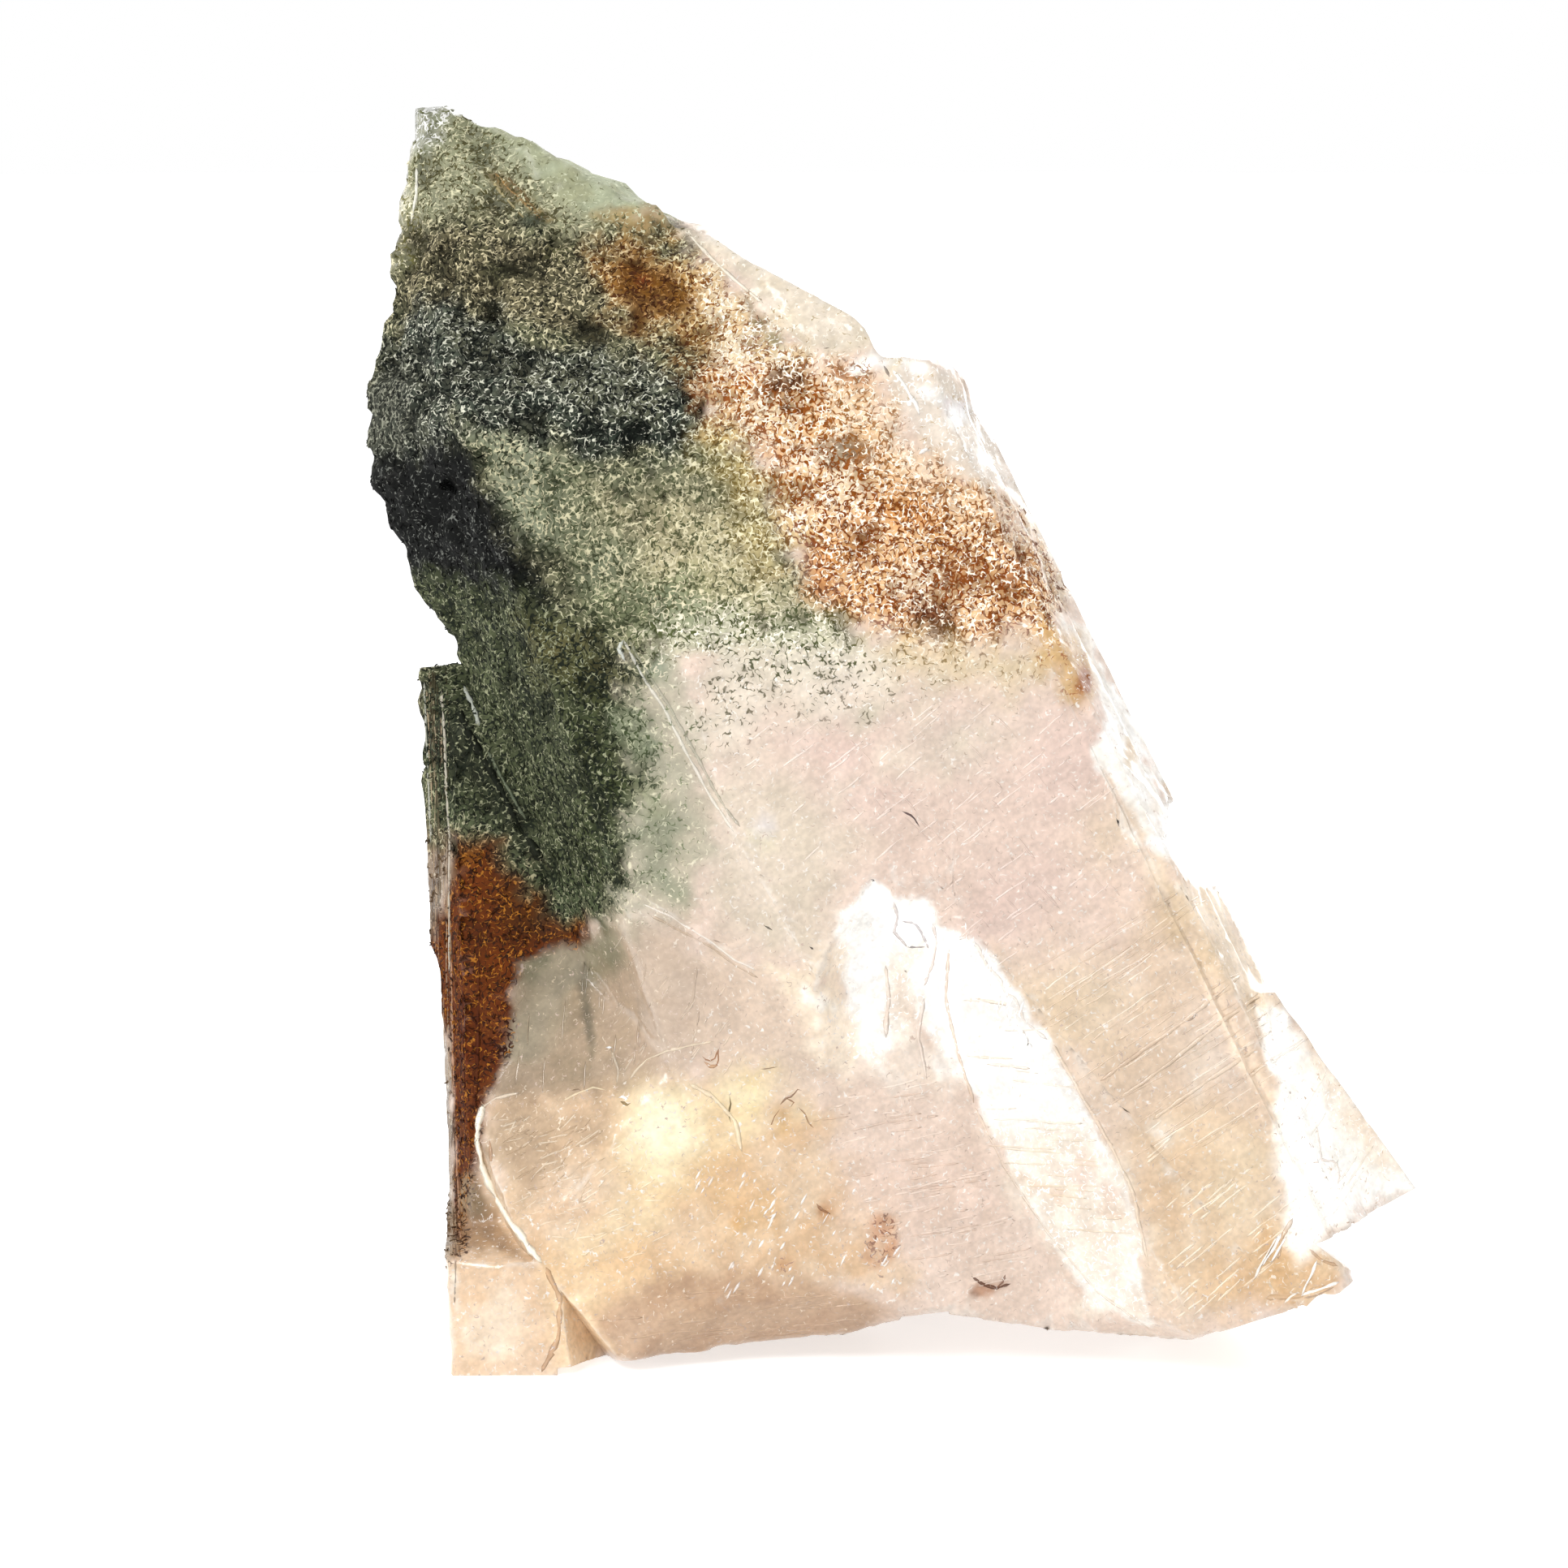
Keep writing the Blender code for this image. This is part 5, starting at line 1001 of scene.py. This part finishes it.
def cut_fine(bm):
    """Halves the edges that are longer than wanted until none is left, and keeps every face in its plane."""
    for _ in range(10):
        candidates = [e for e in bm.edges if e.calc_length() > EDGE_CUT * MM]
        ends = np.array([(*e.verts[0].co, *e.verts[1].co) for e in candidates])
        lengths = np.linalg.norm(ends[:, :3] - ends[:, 3:], axis=1) / MM
        rims = {v for v in bm.verts if on_rim(v)}
        at_rim = np.array([e.verts[0] in rims or e.verts[1] in rims for e in candidates])
        wanted = wanted_size((ends[:, :3] + ends[:, 3:]) / 2)
        too_long = lengths > np.where(at_rim & (wanted == PLAIN_CUT), EDGE_CUT, wanted)
        long_edges = [e for e, cut in zip(candidates, too_long) if cut]
        if not long_edges:
            break
        bmesh.ops.subdivide_edges(bm, edges=long_edges, cuts=1)
        bmesh.ops.triangulate(bm, faces=[f for f in bm.faces if len(f.verts) > 3])
        flat = [e for e in bm.edges if len(e.link_faces) == 2 and e.calc_face_angle() < FLAT_ANGLE]
        bmesh.ops.beautify_fill(bm, faces=bm.faces, edges=flat, method="ANGLE")


def stone_mesh():
    """The stone's own faces, from its solid, cut small enough to carry grain."""
    bm = bmesh.new()
    bm.from_mesh(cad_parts[STONE].data)
    bmesh.ops.remove_doubles(bm, verts=bm.verts, dist=SAME_POINT * MM)
    bmesh.ops.dissolve_degenerate(bm, edges=bm.edges, dist=0.01 * MM)
    cut_fine(bm)
    soften(bm)
    rim = np.array([on_rim(v) for v in bm.verts], float)
    mesh = bpy.data.meshes.new("crystal")
    bm.to_mesh(mesh)
    bm.free()
    return mesh, rim


def vertex_places(mesh):
    places = np.empty(len(mesh.vertices) * 3)
    mesh.vertices.foreach_get("co", places)
    return places.reshape(-1, 3)


def vertex_normals(mesh):
    normals = np.empty(len(mesh.vertices) * 3, np.float32)
    mesh.vertex_normals.foreach_get("vector", normals)
    return normals.reshape(-1, 3).astype(float)


def shape_outline(mesh):
    """Shifts the skin near the lines of the pushes; what rests on the floor keeps its level."""
    places = vertex_places(mesh)
    across, up, depth = front_view(places)
    level = places[:, 2].copy()
    for push in PUSHES:
        share = 1 - smooth(0, push.reach, away_from(push.line, across, up))
        places[:, (0, 2)] += share[:, None] * np.array(push.shift) * MM
    places[:, 2] = np.where(level < RESTING * MM, level, places[:, 2])
    mesh.vertices.foreach_set("co", places.ravel())
    mesh.update()


def raise_relief(mesh, kinds):
    """Moves the skin by its grain, lumps and pits above and faint waves below, with painted shade in the
    pits and low places of the crust and painted light on its lumps.
    """
    places, normals = vertex_places(mesh), vertex_normals(mesh)
    grain = kinds["grain"]
    lumps = swells(places, LUMPS)
    pits = smooth(0.08, 0.4, swells(places, PITS))
    waves = swells(places, WAVES)
    resting = places[:, 2] < RESTING * MM
    places += normals * ((grain * (lumps - 0.5 * pits) + waves) * MM)[:, None]
    places[:, 2] = np.where(resting, 0, np.maximum(places[:, 2], 0))
    mesh.vertices.foreach_set("co", places.ravel())
    mesh.update()
    # painted shade in the crust's pits, fewer light flecks and more dark curls there, and painted light on
    # its lumps
    pit_shade = smooth(0.1, 0.6, grain) * pits
    kinds["ground"] *= ((1 - 0.5 * pit_shade) * (1 + 0.7 * grain * lumps))[:, None]
    kinds["flecked"] *= 1 - 0.6 * pit_shade
    kinds["specked"] *= 1 + 0.3 * pit_shade


def wear_rims(kinds, rim, places):
    """Pale, chipped wear and a painted highlight along the stone's sharp edges, less where crust covers them
    and on darker ground.
    """
    chipped = smooth(-0.25, 0.25, drift(places, 1.1, 12))
    bright = smooth(0.1, 0.55, kinds["ground"].mean(axis=1))
    bare = 1 - 0.8 * smooth(0.1, 0.6, kinds["grain"])
    # pale wear along the rims, partly a painted highlight
    share = (rim * RIM_WEAR_AND_HIGHLIGHT * chipped * (0.2 + 0.8 * bright) * bare)[:, None]
    kinds["ground"] = kinds["ground"] * (1 - share) + linear(PALE_AND_LIT_RIM_TONE) * share


def strew_curls(kinds, normals):
    """Where the curled grains grow: thick where curls are painted, split by colour and by side."""
    thick = smooth(*CURLS_FROM, kinds["specked"])
    rusty = kinds["speck_tone"][:, 0] > RUSTY * kinds["speck_tone"][:, 1]
    facing = normals[:, 1] < FACING
    kinds["green_front"] = thick * ~rusty * facing
    kinds["green_behind"] = FEWER_BEHIND * thick * ~rusty * ~facing
    kinds["rust_all"] = thick * rusty * np.where(facing, 1, FEWER_BEHIND)


def keep_paint(mesh, kinds):
    """Stores the painted qualities on the mesh's points, where the finish reads them."""
    for name, values in kinds.items():
        if values.ndim == 1:
            layer = mesh.attributes.new(name, "FLOAT", "POINT")
            layer.data.foreach_set("value", values.astype(np.float32))
        else:
            layer = mesh.attributes.new(name, "FLOAT_COLOR", "POINT")
            with_alpha = np.column_stack((values, np.ones(len(values))))
            layer.data.foreach_set("color", with_alpha.astype(np.float32).ravel())


class Nodes:
    """Adds nodes to a tree, each with its settings and its inputs."""

    def __init__(self, tree):
        self.tree = tree
        self.tree.nodes.clear()

    def node(self, kind, settings=(), **inputs):
        made = self.tree.nodes.new(kind)
        for name, value in dict(settings).items():
            setattr(made, name, value)
        for name, value in inputs.items():
            self.feed(made, name.replace("_", " "), value)
        return made

    def feed(self, made, name, value):
        socket = made.inputs[int(name)] if name.isdigit() else made.inputs[name]
        if isinstance(value, bpy.types.NodeSocket):
            self.tree.links.new(value, socket)
        else:
            socket.default_value = value

    def math(self, operation, *values):
        made = self.node("ShaderNodeMath", {"operation": operation})
        for i, value in enumerate(values):
            self.feed(made, str(i), value)
        return made.outputs[0]


class Finish(Nodes):
    """A material's nodes, one layer at a time. Sizes of patterns are in mm."""

    def __init__(self, name):
        self.material = bpy.data.materials.new(name)
        self.material.use_nodes = True
        super().__init__(self.material.node_tree)
        self.place = self.node("ShaderNodeTexCoord").outputs["Object"]

    def painted(self, name, output="Fac"):
        return self.node("ShaderNodeAttribute", {"attribute_name": name}).outputs[output]

    def noise(self, size, detail=0.0, shift=0.0, stretch=(1, 1, 1), turn=(0.7, 0.4, 0.9)):
        """Cloudy pattern, 0 to 1, with swells of about the given size, stretched along turned axes."""
        where = self.node("ShaderNodeMapping", {"vector_type": "TEXTURE"}, Vector=self.place,
                          Location=(shift,) * 3, Rotation=turn,
                          Scale=[s * size * MM for s in stretch]).outputs[0]
        return self.node("ShaderNodeTexNoise", Vector=where, Scale=1.0, Detail=detail).outputs["Fac"]

    def spread(self, value, low, high, bottom=0.0, top=1.0):
        made = self.node("ShaderNodeMapRange", {"interpolation_type": "SMOOTHSTEP"})
        for i, number in enumerate((value, low, high, bottom, top)):
            self.feed(made, str(i), number)
        return made.outputs[0]

    def strokes(self, share, line_size, patch_size, shift, soft=0.16):
        """Short curved strokes over a share of the surface: where a cloudy pattern passes its middle."""
        off = self.math("ABSOLUTE", self.math("SUBTRACT", self.noise(line_size, 0.6, shift), 0.5))
        patches = self.noise(patch_size, 1.0, shift + 40)
        ridge = self.math("SUBTRACT", patches, self.math("MULTIPLY", off, 4.2))
        bar = self.math("MULTIPLY_ADD", share, -0.75, 0.62)
        return self.spread(self.math("SUBTRACT", ridge, bar), -soft / 2, soft / 2)

    def mix(self, share, under, over):
        made = self.node("ShaderNodeMix", {"data_type": "RGBA"})
        for i, value in (("0", share), ("6", under), ("7", over)):
            self.feed(made, i, value)
        return made.outputs[2]


def quartz_finish():
    """The stone's own finish: painted ground, dark curls, light flecks, and the light it lets through."""
    f = Finish("chlorite_quartz")
    specks = f.strokes(f.painted("specked"), *SPECK_STROKES)
    flecks = f.strokes(f.painted("flecked"), *FLECK_STROKES)
    lines = f.noise(0.5, 1.0, 5.0, stretch=(7, 3, 0.8), turn=(0, -AXIS_TILT, 0))
    grains = f.noise(0.28, 1.0, 17.0)
    clouds = f.noise(1.5, 2.0, 31.0)

    colour = f.mix(specks, f.painted("ground", "Color"), f.painted("speck_tone", "Color"))
    colour = f.mix(flecks, colour, f.painted("fleck_tone", "Color"))
    uneven = f.math("MULTIPLY", f.spread(grains, 0.25, 0.75, -1.0, 1.0),
                    f.math("MULTIPLY_ADD", f.painted("grain"), 0.34, 0.035))
    shade = f.math("ADD", f.math("ADD", uneven, f.spread(clouds, 0.3, 0.7, 0.94, 1.05)),
                   f.spread(lines, 0.3, 0.7, -0.035, 0.035))
    toned = f.node("ShaderNodeVectorMath", {"operation": "SCALE"}, **{"0": colour, "Scale": shade})

    height = f.math("ADD", f.math("MULTIPLY", grains, f.math("MULTIPLY_ADD", f.painted("grain"), 1.2, 0.25)),
                    f.math("ADD", f.math("MULTIPLY", flecks, f.painted("grain")),
                           f.math("MULTIPLY", lines, 0.5)))
    bump = f.node("ShaderNodeBump", Strength=0.5, Distance=0.05 * MM, Height=height)
    through = f.math("MULTIPLY", f.painted("clear"),
                     f.math("SUBTRACT", 1.0, f.math("MAXIMUM", specks, f.math("MULTIPLY", flecks, 0.6))))
    gloss = f.spread(f.painted("rough"), 0.5, 0.15)
    shader = f.node("ShaderNodeBsdfPrincipled", Base_Color=toned.outputs[0], Roughness=f.painted("rough"),
                    IOR=QUARTZ_IOR, Specular_IOR_Level=0.12, Transmission_Weight=through, Coat_Weight=gloss,
                    Coat_Roughness=0.12, Coat_IOR=1.5, Normal=bump.outputs[0])
    within = f.node("ShaderNodeVolumeAbsorption", Color=TINT_INSIDE, Density=TINT_PER_METRE)
    f.node("ShaderNodeOutputMaterial", Surface=shader.outputs[0], Volume=within.outputs[0])
    return f.material


def curl_finish():
    """Curled grains, most in the tone of the curls painted under them and some in that of the flecks."""
    f = Finish("curled_grains")
    both = f.math("ADD", f.painted("flecked"), f.painted("specked"))
    light_share = f.math("DIVIDE", f.painted("flecked"), both)
    light = f.spread(f.math("SUBTRACT", light_share, f.painted("pick")), -0.1, 0.1)
    colour = f.mix(light, f.painted("speck_tone", "Color"), f.painted("fleck_tone", "Color"))
    bare = f.spread(f.noise(0.5, 0.0, 23.0), 0.3, 0.7, 0.0, 0.3)
    colour = f.mix(bare, colour, f.painted("ground", "Color"))
    grit = f.noise(0.09, 0.0, 29.0)
    bump = f.node("ShaderNodeBump", Strength=0.3, Distance=0.02 * MM, Height=grit)
    rough = f.spread(grit, 0.3, 0.7, 0.4, 0.7)
    shader = f.node("ShaderNodeBsdfPrincipled", Base_Color=colour, Roughness=rough,
                    Specular_IOR_Level=0.1, Normal=bump.outputs[0])
    f.node("ShaderNodeOutputMaterial", Surface=shader.outputs[0])
    return f.material


def curl_tree(finish):
    """Strews short bent tubes on a skin, more where a painted share is higher, each turned by chance."""
    tree = bpy.data.node_groups.new("strewn_curls", "GeometryNodeTree")
    for name, kind in (("Skin", "Geometry"), ("Painted share", "String"), ("Per square metre", "Float"),
                       ("Length", "Float"), ("Thickness", "Float"), ("Seed", "Int")):
        tree.interface.new_socket(name, in_out="INPUT", socket_type="NodeSocket" + kind)
    tree.interface.new_socket("Curls", in_out="OUTPUT", socket_type="NodeSocketGeometry")
    n = Nodes(tree)
    given = n.node("NodeGroupInput").outputs

    def chance(kind, low, high, first, output):
        return n.node("FunctionNodeRandomValue", {"data_type": kind}, Seed=given["Seed"],
                      **{str(first): low, str(first + 1): high}).outputs[output]

    ring = n.node("GeometryNodeCurvePrimitiveCircle", Resolution=3,
                  Radius=n.math("MULTIPLY", given["Thickness"], 0.5)).outputs[0]
    along = n.node("GeometryNodeSplineParameter").outputs["Factor"]
    end = n.math("ABSOLUTE", n.math("MULTIPLY_ADD", along, 2.0, -1.0))
    taper = n.math("MULTIPLY_ADD", n.math("MULTIPLY", end, end), -0.5, 1.0)
    shapes = n.node("GeometryNodeJoinGeometry")
    for sweep in CURL_SWEEPS:
        bend = n.math("DIVIDE", given["Length"], sweep)
        arc = n.node("GeometryNodeCurveArc", Resolution=4, Radius=bend, Start_Angle=-sweep / 2,
                     Sweep_Angle=sweep).outputs[0]
        back = n.node("ShaderNodeCombineXYZ", X=n.math("MULTIPLY", bend, -0.8)).outputs[0]
        centred = n.node("GeometryNodeTransform", Geometry=arc, Translation=back).outputs[0]
        tube = n.node("GeometryNodeCurveToMesh", Curve=centred, Profile_Curve=ring, Scale=taper,
                      Fill_Caps=True).outputs[0]
        one = n.node("GeometryNodeGeometryToInstance", Geometry=tube).outputs[0]
        tree.links.new(one, shapes.inputs[0])

    share = n.node("GeometryNodeInputNamedAttribute", Name=given["Painted share"]).outputs[0]
    spots = n.node("GeometryNodeDistributePointsOnFaces", Mesh=given["Skin"],
                   Density=n.math("MULTIPLY", share, given["Per square metre"]), Seed=given["Seed"])
    tagged = n.node("GeometryNodeStoreNamedAttribute", Geometry=spots.outputs["Points"], Name="pick",
                    Value=chance("FLOAT", 0.0, 1.0, 2, 1)).outputs[0]
    tip = n.node("FunctionNodeEulerToRotation",
                 Euler=chance("FLOAT_VECTOR", (-0.5, -0.5, 0), (0.5, 0.5, math.tau), 0, 0)).outputs[0]
    turned = n.node("FunctionNodeRotateRotation", {"rotation_space": "LOCAL"},
                    Rotation=spots.outputs["Rotation"], Rotate_By=tip).outputs[0]
    grown = n.node("GeometryNodeInstanceOnPoints", Points=tagged, Instance=shapes.outputs[0],
                   Pick_Instance=True, Instance_Index=chance("INT", 0, len(CURL_SWEEPS) - 1, 4, 2),
                   Rotation=turned, Scale=chance("FLOAT", 0.65, 1.3, 2, 1)).outputs[0]
    real = n.node("GeometryNodeRealizeInstances", Geometry=grown).outputs[0]
    coated = n.node("GeometryNodeSetMaterial", Geometry=real, Material=finish).outputs[0]
    n.node("NodeGroupOutput", Curls=coated)
    return tree


def curled_grains(name, skin, tree, painted_share, seed):
    """One piece of curled grains, grown on the stone where the named share was painted."""
    bed = bpy.data.objects.new("curl_bed", skin)
    bpy.context.scene.collection.objects.link(bed)
    growth = bed.modifiers.new("curls", "NODES")
    growth.node_group = tree
    sizes = {"Painted share": painted_share, "Per square metre": CURLS_PER_SQUARE_MM / MM ** 2,
             "Length": CURL_LENGTH * MM, "Thickness": CURL_THICKNESS * MM, "Seed": seed}
    for socket in tree.interface.items_tree:
        if socket.name in sizes:
            growth[socket.identifier] = sizes[socket.name]
    grown = bed.evaluated_get(bpy.context.evaluated_depsgraph_get())
    mesh = bpy.data.meshes.new_from_object(grown)
    bpy.data.objects.remove(bed)
    mesh.shade_smooth()
    show(name, mesh)


def show(name, mesh, *replaced):
    """A finished piece of the stone, riding on its only body."""
    piece = bpy.data.objects.new(name, mesh)
    bpy.context.scene.collection.objects.link(piece)
    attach(piece, "root")
    if replaced:
        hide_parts(*replaced)


def family(streaks, seed):
    """The separate lines of one set of streaks, as creases."""
    chance = np.random.default_rng(seed)
    low, high = np.min(streaks.outline, axis=0), np.max(streaks.outline, axis=0)
    made = []
    while len(made) < streaks.count:
        middle = chance.uniform(low, high)
        turn = math.radians(streaks.turn + chance.normal(0, streaks.stray))
        reach = chance.uniform(streaks.shortest, streaks.longest) / 2
        run = np.array((math.cos(turn), math.sin(turn))) * reach
        if inside_by(streaks.outline, *np.array([middle]).T)[0] > 0:
            ends = [tuple(middle - run), tuple(middle + run)]
            cover = streaks.cover * chance.uniform(0.5, 1)
            made.append(Crease(ends, streaks.tone, cover, streaks.width, streaks.rise))
    return made


def stepped(line):
    """Points a small step apart along a line of points."""
    line = np.array(line)
    lengths = np.hypot(*np.diff(line, axis=0).T)
    along = np.concatenate(([0], np.cumsum(lengths)))
    stops = np.linspace(0, along[-1], max(3, int(along[-1] / LINE_STEP) + 2))
    return np.column_stack([np.interp(stops, along, line[:, i]) for i in (0, 1)])


def on_skin(skin, across, up):
    """Where the sight line through a front-view place meets the stone, and the skin's normal there."""
    ahead = Vector((0, math.cos(LOOKS_DOWN), -math.sin(LOOKS_DOWN)))
    upward = Vector((0, math.sin(LOOKS_DOWN), math.cos(LOOKS_DOWN)))
    sideways = Vector((across - VIEW_CENTRE[0], 0, 0))
    sight = sideways + upward * (up - VIEW_CENTRE[1]) + ahead * TO_FRONT_PLANE
    return skin.ray_cast(EYE * MM, sight.normalized())[:2]


def fine_lines(skin_mesh, finish):
    """Cracks, chipped edges, growth lines, and painted highlights and shade along edges: a thin, tapered,
    closed bead for each, sunk in the skin.
    """
    corners = [tuple(v.co) for v in skin_mesh.vertices]
    skin = BVHTree.FromPolygons(corners, [tuple(p.vertices) for p in skin_mesh.polygons])
    creases = list(CREASES)
    for i, streaks in enumerate(STREAKS):
        creases += family(streaks, 100 + i)
    verts, faces, tones, covers = [], [], [], []
    for crease in creases:
        hits = [on_skin(skin, *place) for place in stepped(crease.line)]
        hits = [(place, normal) for place, normal in hits if place]
        gaps = [(a[0] - b[0]).length for a, b in zip(hits, hits[1:])]
        if len(hits) < 3 or max(gaps) > WIDEST_GAP * MM:
            continue
        first = len(verts)
        for i, (place, normal) in enumerate(hits):
            ahead = (hits[min(i + 1, len(hits) - 1)][0] - hits[max(i - 1, 0)][0]).normalized()
            side = normal.cross(ahead).normalized()
            where = place / (LINE_WAVER_SIZE * MM)
            place = place + side * (LINE_WAVER * noise.noise(where) * MM)
            if i in (0, len(hits) - 1):
                verts.append(place)
                continue
            wide = crease.width * (0.75 + 0.7 * noise.noise(where * 1.7)) * MM
            high = max(crease.rise, LEAST_RISE) * MM
            verts += [place + side * wide, place + normal * high,
                      place - side * wide, place - normal * LINE_DEPTH * MM]
        rings, last = len(hits) - 2, len(verts) - 1
        for k in range(4):
            j = (k + 1) % 4
            faces.append((first, first + 1 + k, first + 1 + j))
            faces.append((last, last - 4 + j, last - 4 + k))
            for ring in range(rings - 1):
                base = first + 1 + 4 * ring
                faces.append((base + k, base + 4 + k, base + 4 + j, base + j))
        tones += [linear(crease.tone)] * (len(verts) - first)
        covers += [crease.cover] * (len(verts) - first)
    mesh = bpy.data.meshes.new("fine_lines")
    mesh.from_pydata(verts, [], faces)
    bm = bmesh.new()
    bm.from_mesh(mesh)
    bmesh.ops.recalc_face_normals(bm, faces=bm.faces)
    bm.to_mesh(mesh)
    bm.free()
    kinds = paint(vertex_places(mesh))
    covers = np.array(covers)
    kinds["ground"] = kinds["ground"] * (1 - covers[:, None]) + np.array(tones) * covers[:, None]
    for kind in ("specked", "flecked", "grain", "clear"):
        kinds[kind] *= LINE_SHARE
    keep_paint(mesh, kinds)
    mesh.shade_smooth()
    mesh.materials.append(finish)
    show("fine_lines", mesh)


def stone():
    """The finished stone in place of its plain solid, with the grains and fine lines on its skin."""
    mesh, rim = stone_mesh()
    shape_outline(mesh)
    places = vertex_places(mesh)
    kinds = paint(places)
    raise_relief(mesh, kinds)
    wear_rims(kinds, rim, places)
    strew_curls(kinds, vertex_normals(mesh))
    keep_paint(mesh, kinds)
    mesh.shade_smooth()
    mesh.set_sharp_from_angle(angle=SHARP_ANGLE)
    finish = quartz_finish()
    mesh.materials.append(finish)
    show("crystal", mesh, STONE)
    fine_lines(mesh, finish)
    tree = curl_tree(curl_finish())
    curled_grains("green_curls", mesh, tree, "green_front", 3)
    curled_grains("green_curls_behind", mesh, tree, "green_behind", 4)
    curled_grains("rust_curls", mesh, tree, "rust_all", 5)


def pale_floor():
    """A wide round floor, plain and pale."""
    bm = bmesh.new()
    bmesh.ops.create_circle(bm, cap_ends=True, segments=96, radius=FLOOR_RADIUS * MM)
    mesh = bpy.data.meshes.new("floor")
    bm.to_mesh(mesh)
    bm.free()
    floor = bpy.data.objects.new("floor", mesh)
    bpy.context.scene.collection.objects.link(floor)
    f = Finish("pale_floor")
    shader = f.node("ShaderNodeBsdfPrincipled", Base_Color=(0.6, 0.6, 0.6, 1), Roughness=0.7,
                    Emission_Color=(1, 1, 1, 1), Emission_Strength=0.62)
    f.node("ShaderNodeOutputMaterial", Surface=shader.outputs[0])
    mesh.materials.append(f.material)


def soft_light(name, place, size, power):
    """A square soft box, turned to the middle of the stone."""
    light = bpy.data.lights.new(name, "AREA")
    light.size = size * MM
    light.energy = power
    box = bpy.data.objects.new(name, light)
    bpy.context.scene.collection.objects.link(box)
    box.location = Vector(place) * MM
    box.rotation_euler = (Vector(STONE_MIDDLE) * MM - box.location).to_track_quat("-Z", "Y").to_euler()


def studio():
    """White surroundings, brighter behind the stone than before it, and soft boxes."""
    world = bpy.data.worlds.new("white_studio")
    bpy.context.scene.world = world
    world.use_nodes = True
    tree = world.node_tree
    tree.nodes.clear()
    direction = tree.nodes.new("ShaderNodeSeparateXYZ")
    tree.links.new(tree.nodes.new("ShaderNodeTexCoord").outputs["Generated"], direction.inputs[0])
    level = tree.nodes.new("ShaderNodeMapRange")
    for socket, value in zip(level.inputs[1:5], (-0.5, 0.6, FRONT_DIMNESS, BACK_GLOW)):
        socket.default_value = value
    tree.links.new(direction.outputs["Y"], level.inputs["Value"])
    seen = tree.nodes.new("ShaderNodeMix")
    seen.inputs["B"].default_value = 1.0
    tree.links.new(tree.nodes.new("ShaderNodeLightPath").outputs["Is Camera Ray"], seen.inputs["Factor"])
    tree.links.new(level.outputs[0], seen.inputs["A"])
    white = tree.nodes.new("ShaderNodeBackground")
    tree.links.new(seen.outputs[0], white.inputs["Strength"])
    white.inputs["Color"].default_value = (1, 1, 1, 1)
    out = tree.nodes.new("ShaderNodeOutputWorld")
    tree.links.new(white.outputs[0], out.inputs["Surface"])
    soft_light("upper_left_light", (-190, -230, 260), 160, 1.3)
    soft_light("right_light", (260, -160, 150), 200, 0.25)
    soft_light("back_light", (120, 260, 160), 260, 0.8)
    bpy.context.scene.view_settings.view_transform = "Standard"


def front_camera():
    camera = bpy.data.cameras.new("front")
    camera.sensor_width = SENSOR
    camera.lens = SENSOR * TO_FRONT_PLANE / FRAME_WIDTH
    camera.clip_start = 10 * MM
    eye = bpy.data.objects.new("front", camera)
    bpy.context.scene.collection.objects.link(eye)
    eye.location = EYE * MM
    eye.rotation_euler = (math.pi / 2 - LOOKS_DOWN, 0, 0)
    bpy.context.scene.camera = eye


stone()
pale_floor()
studio()
front_camera()
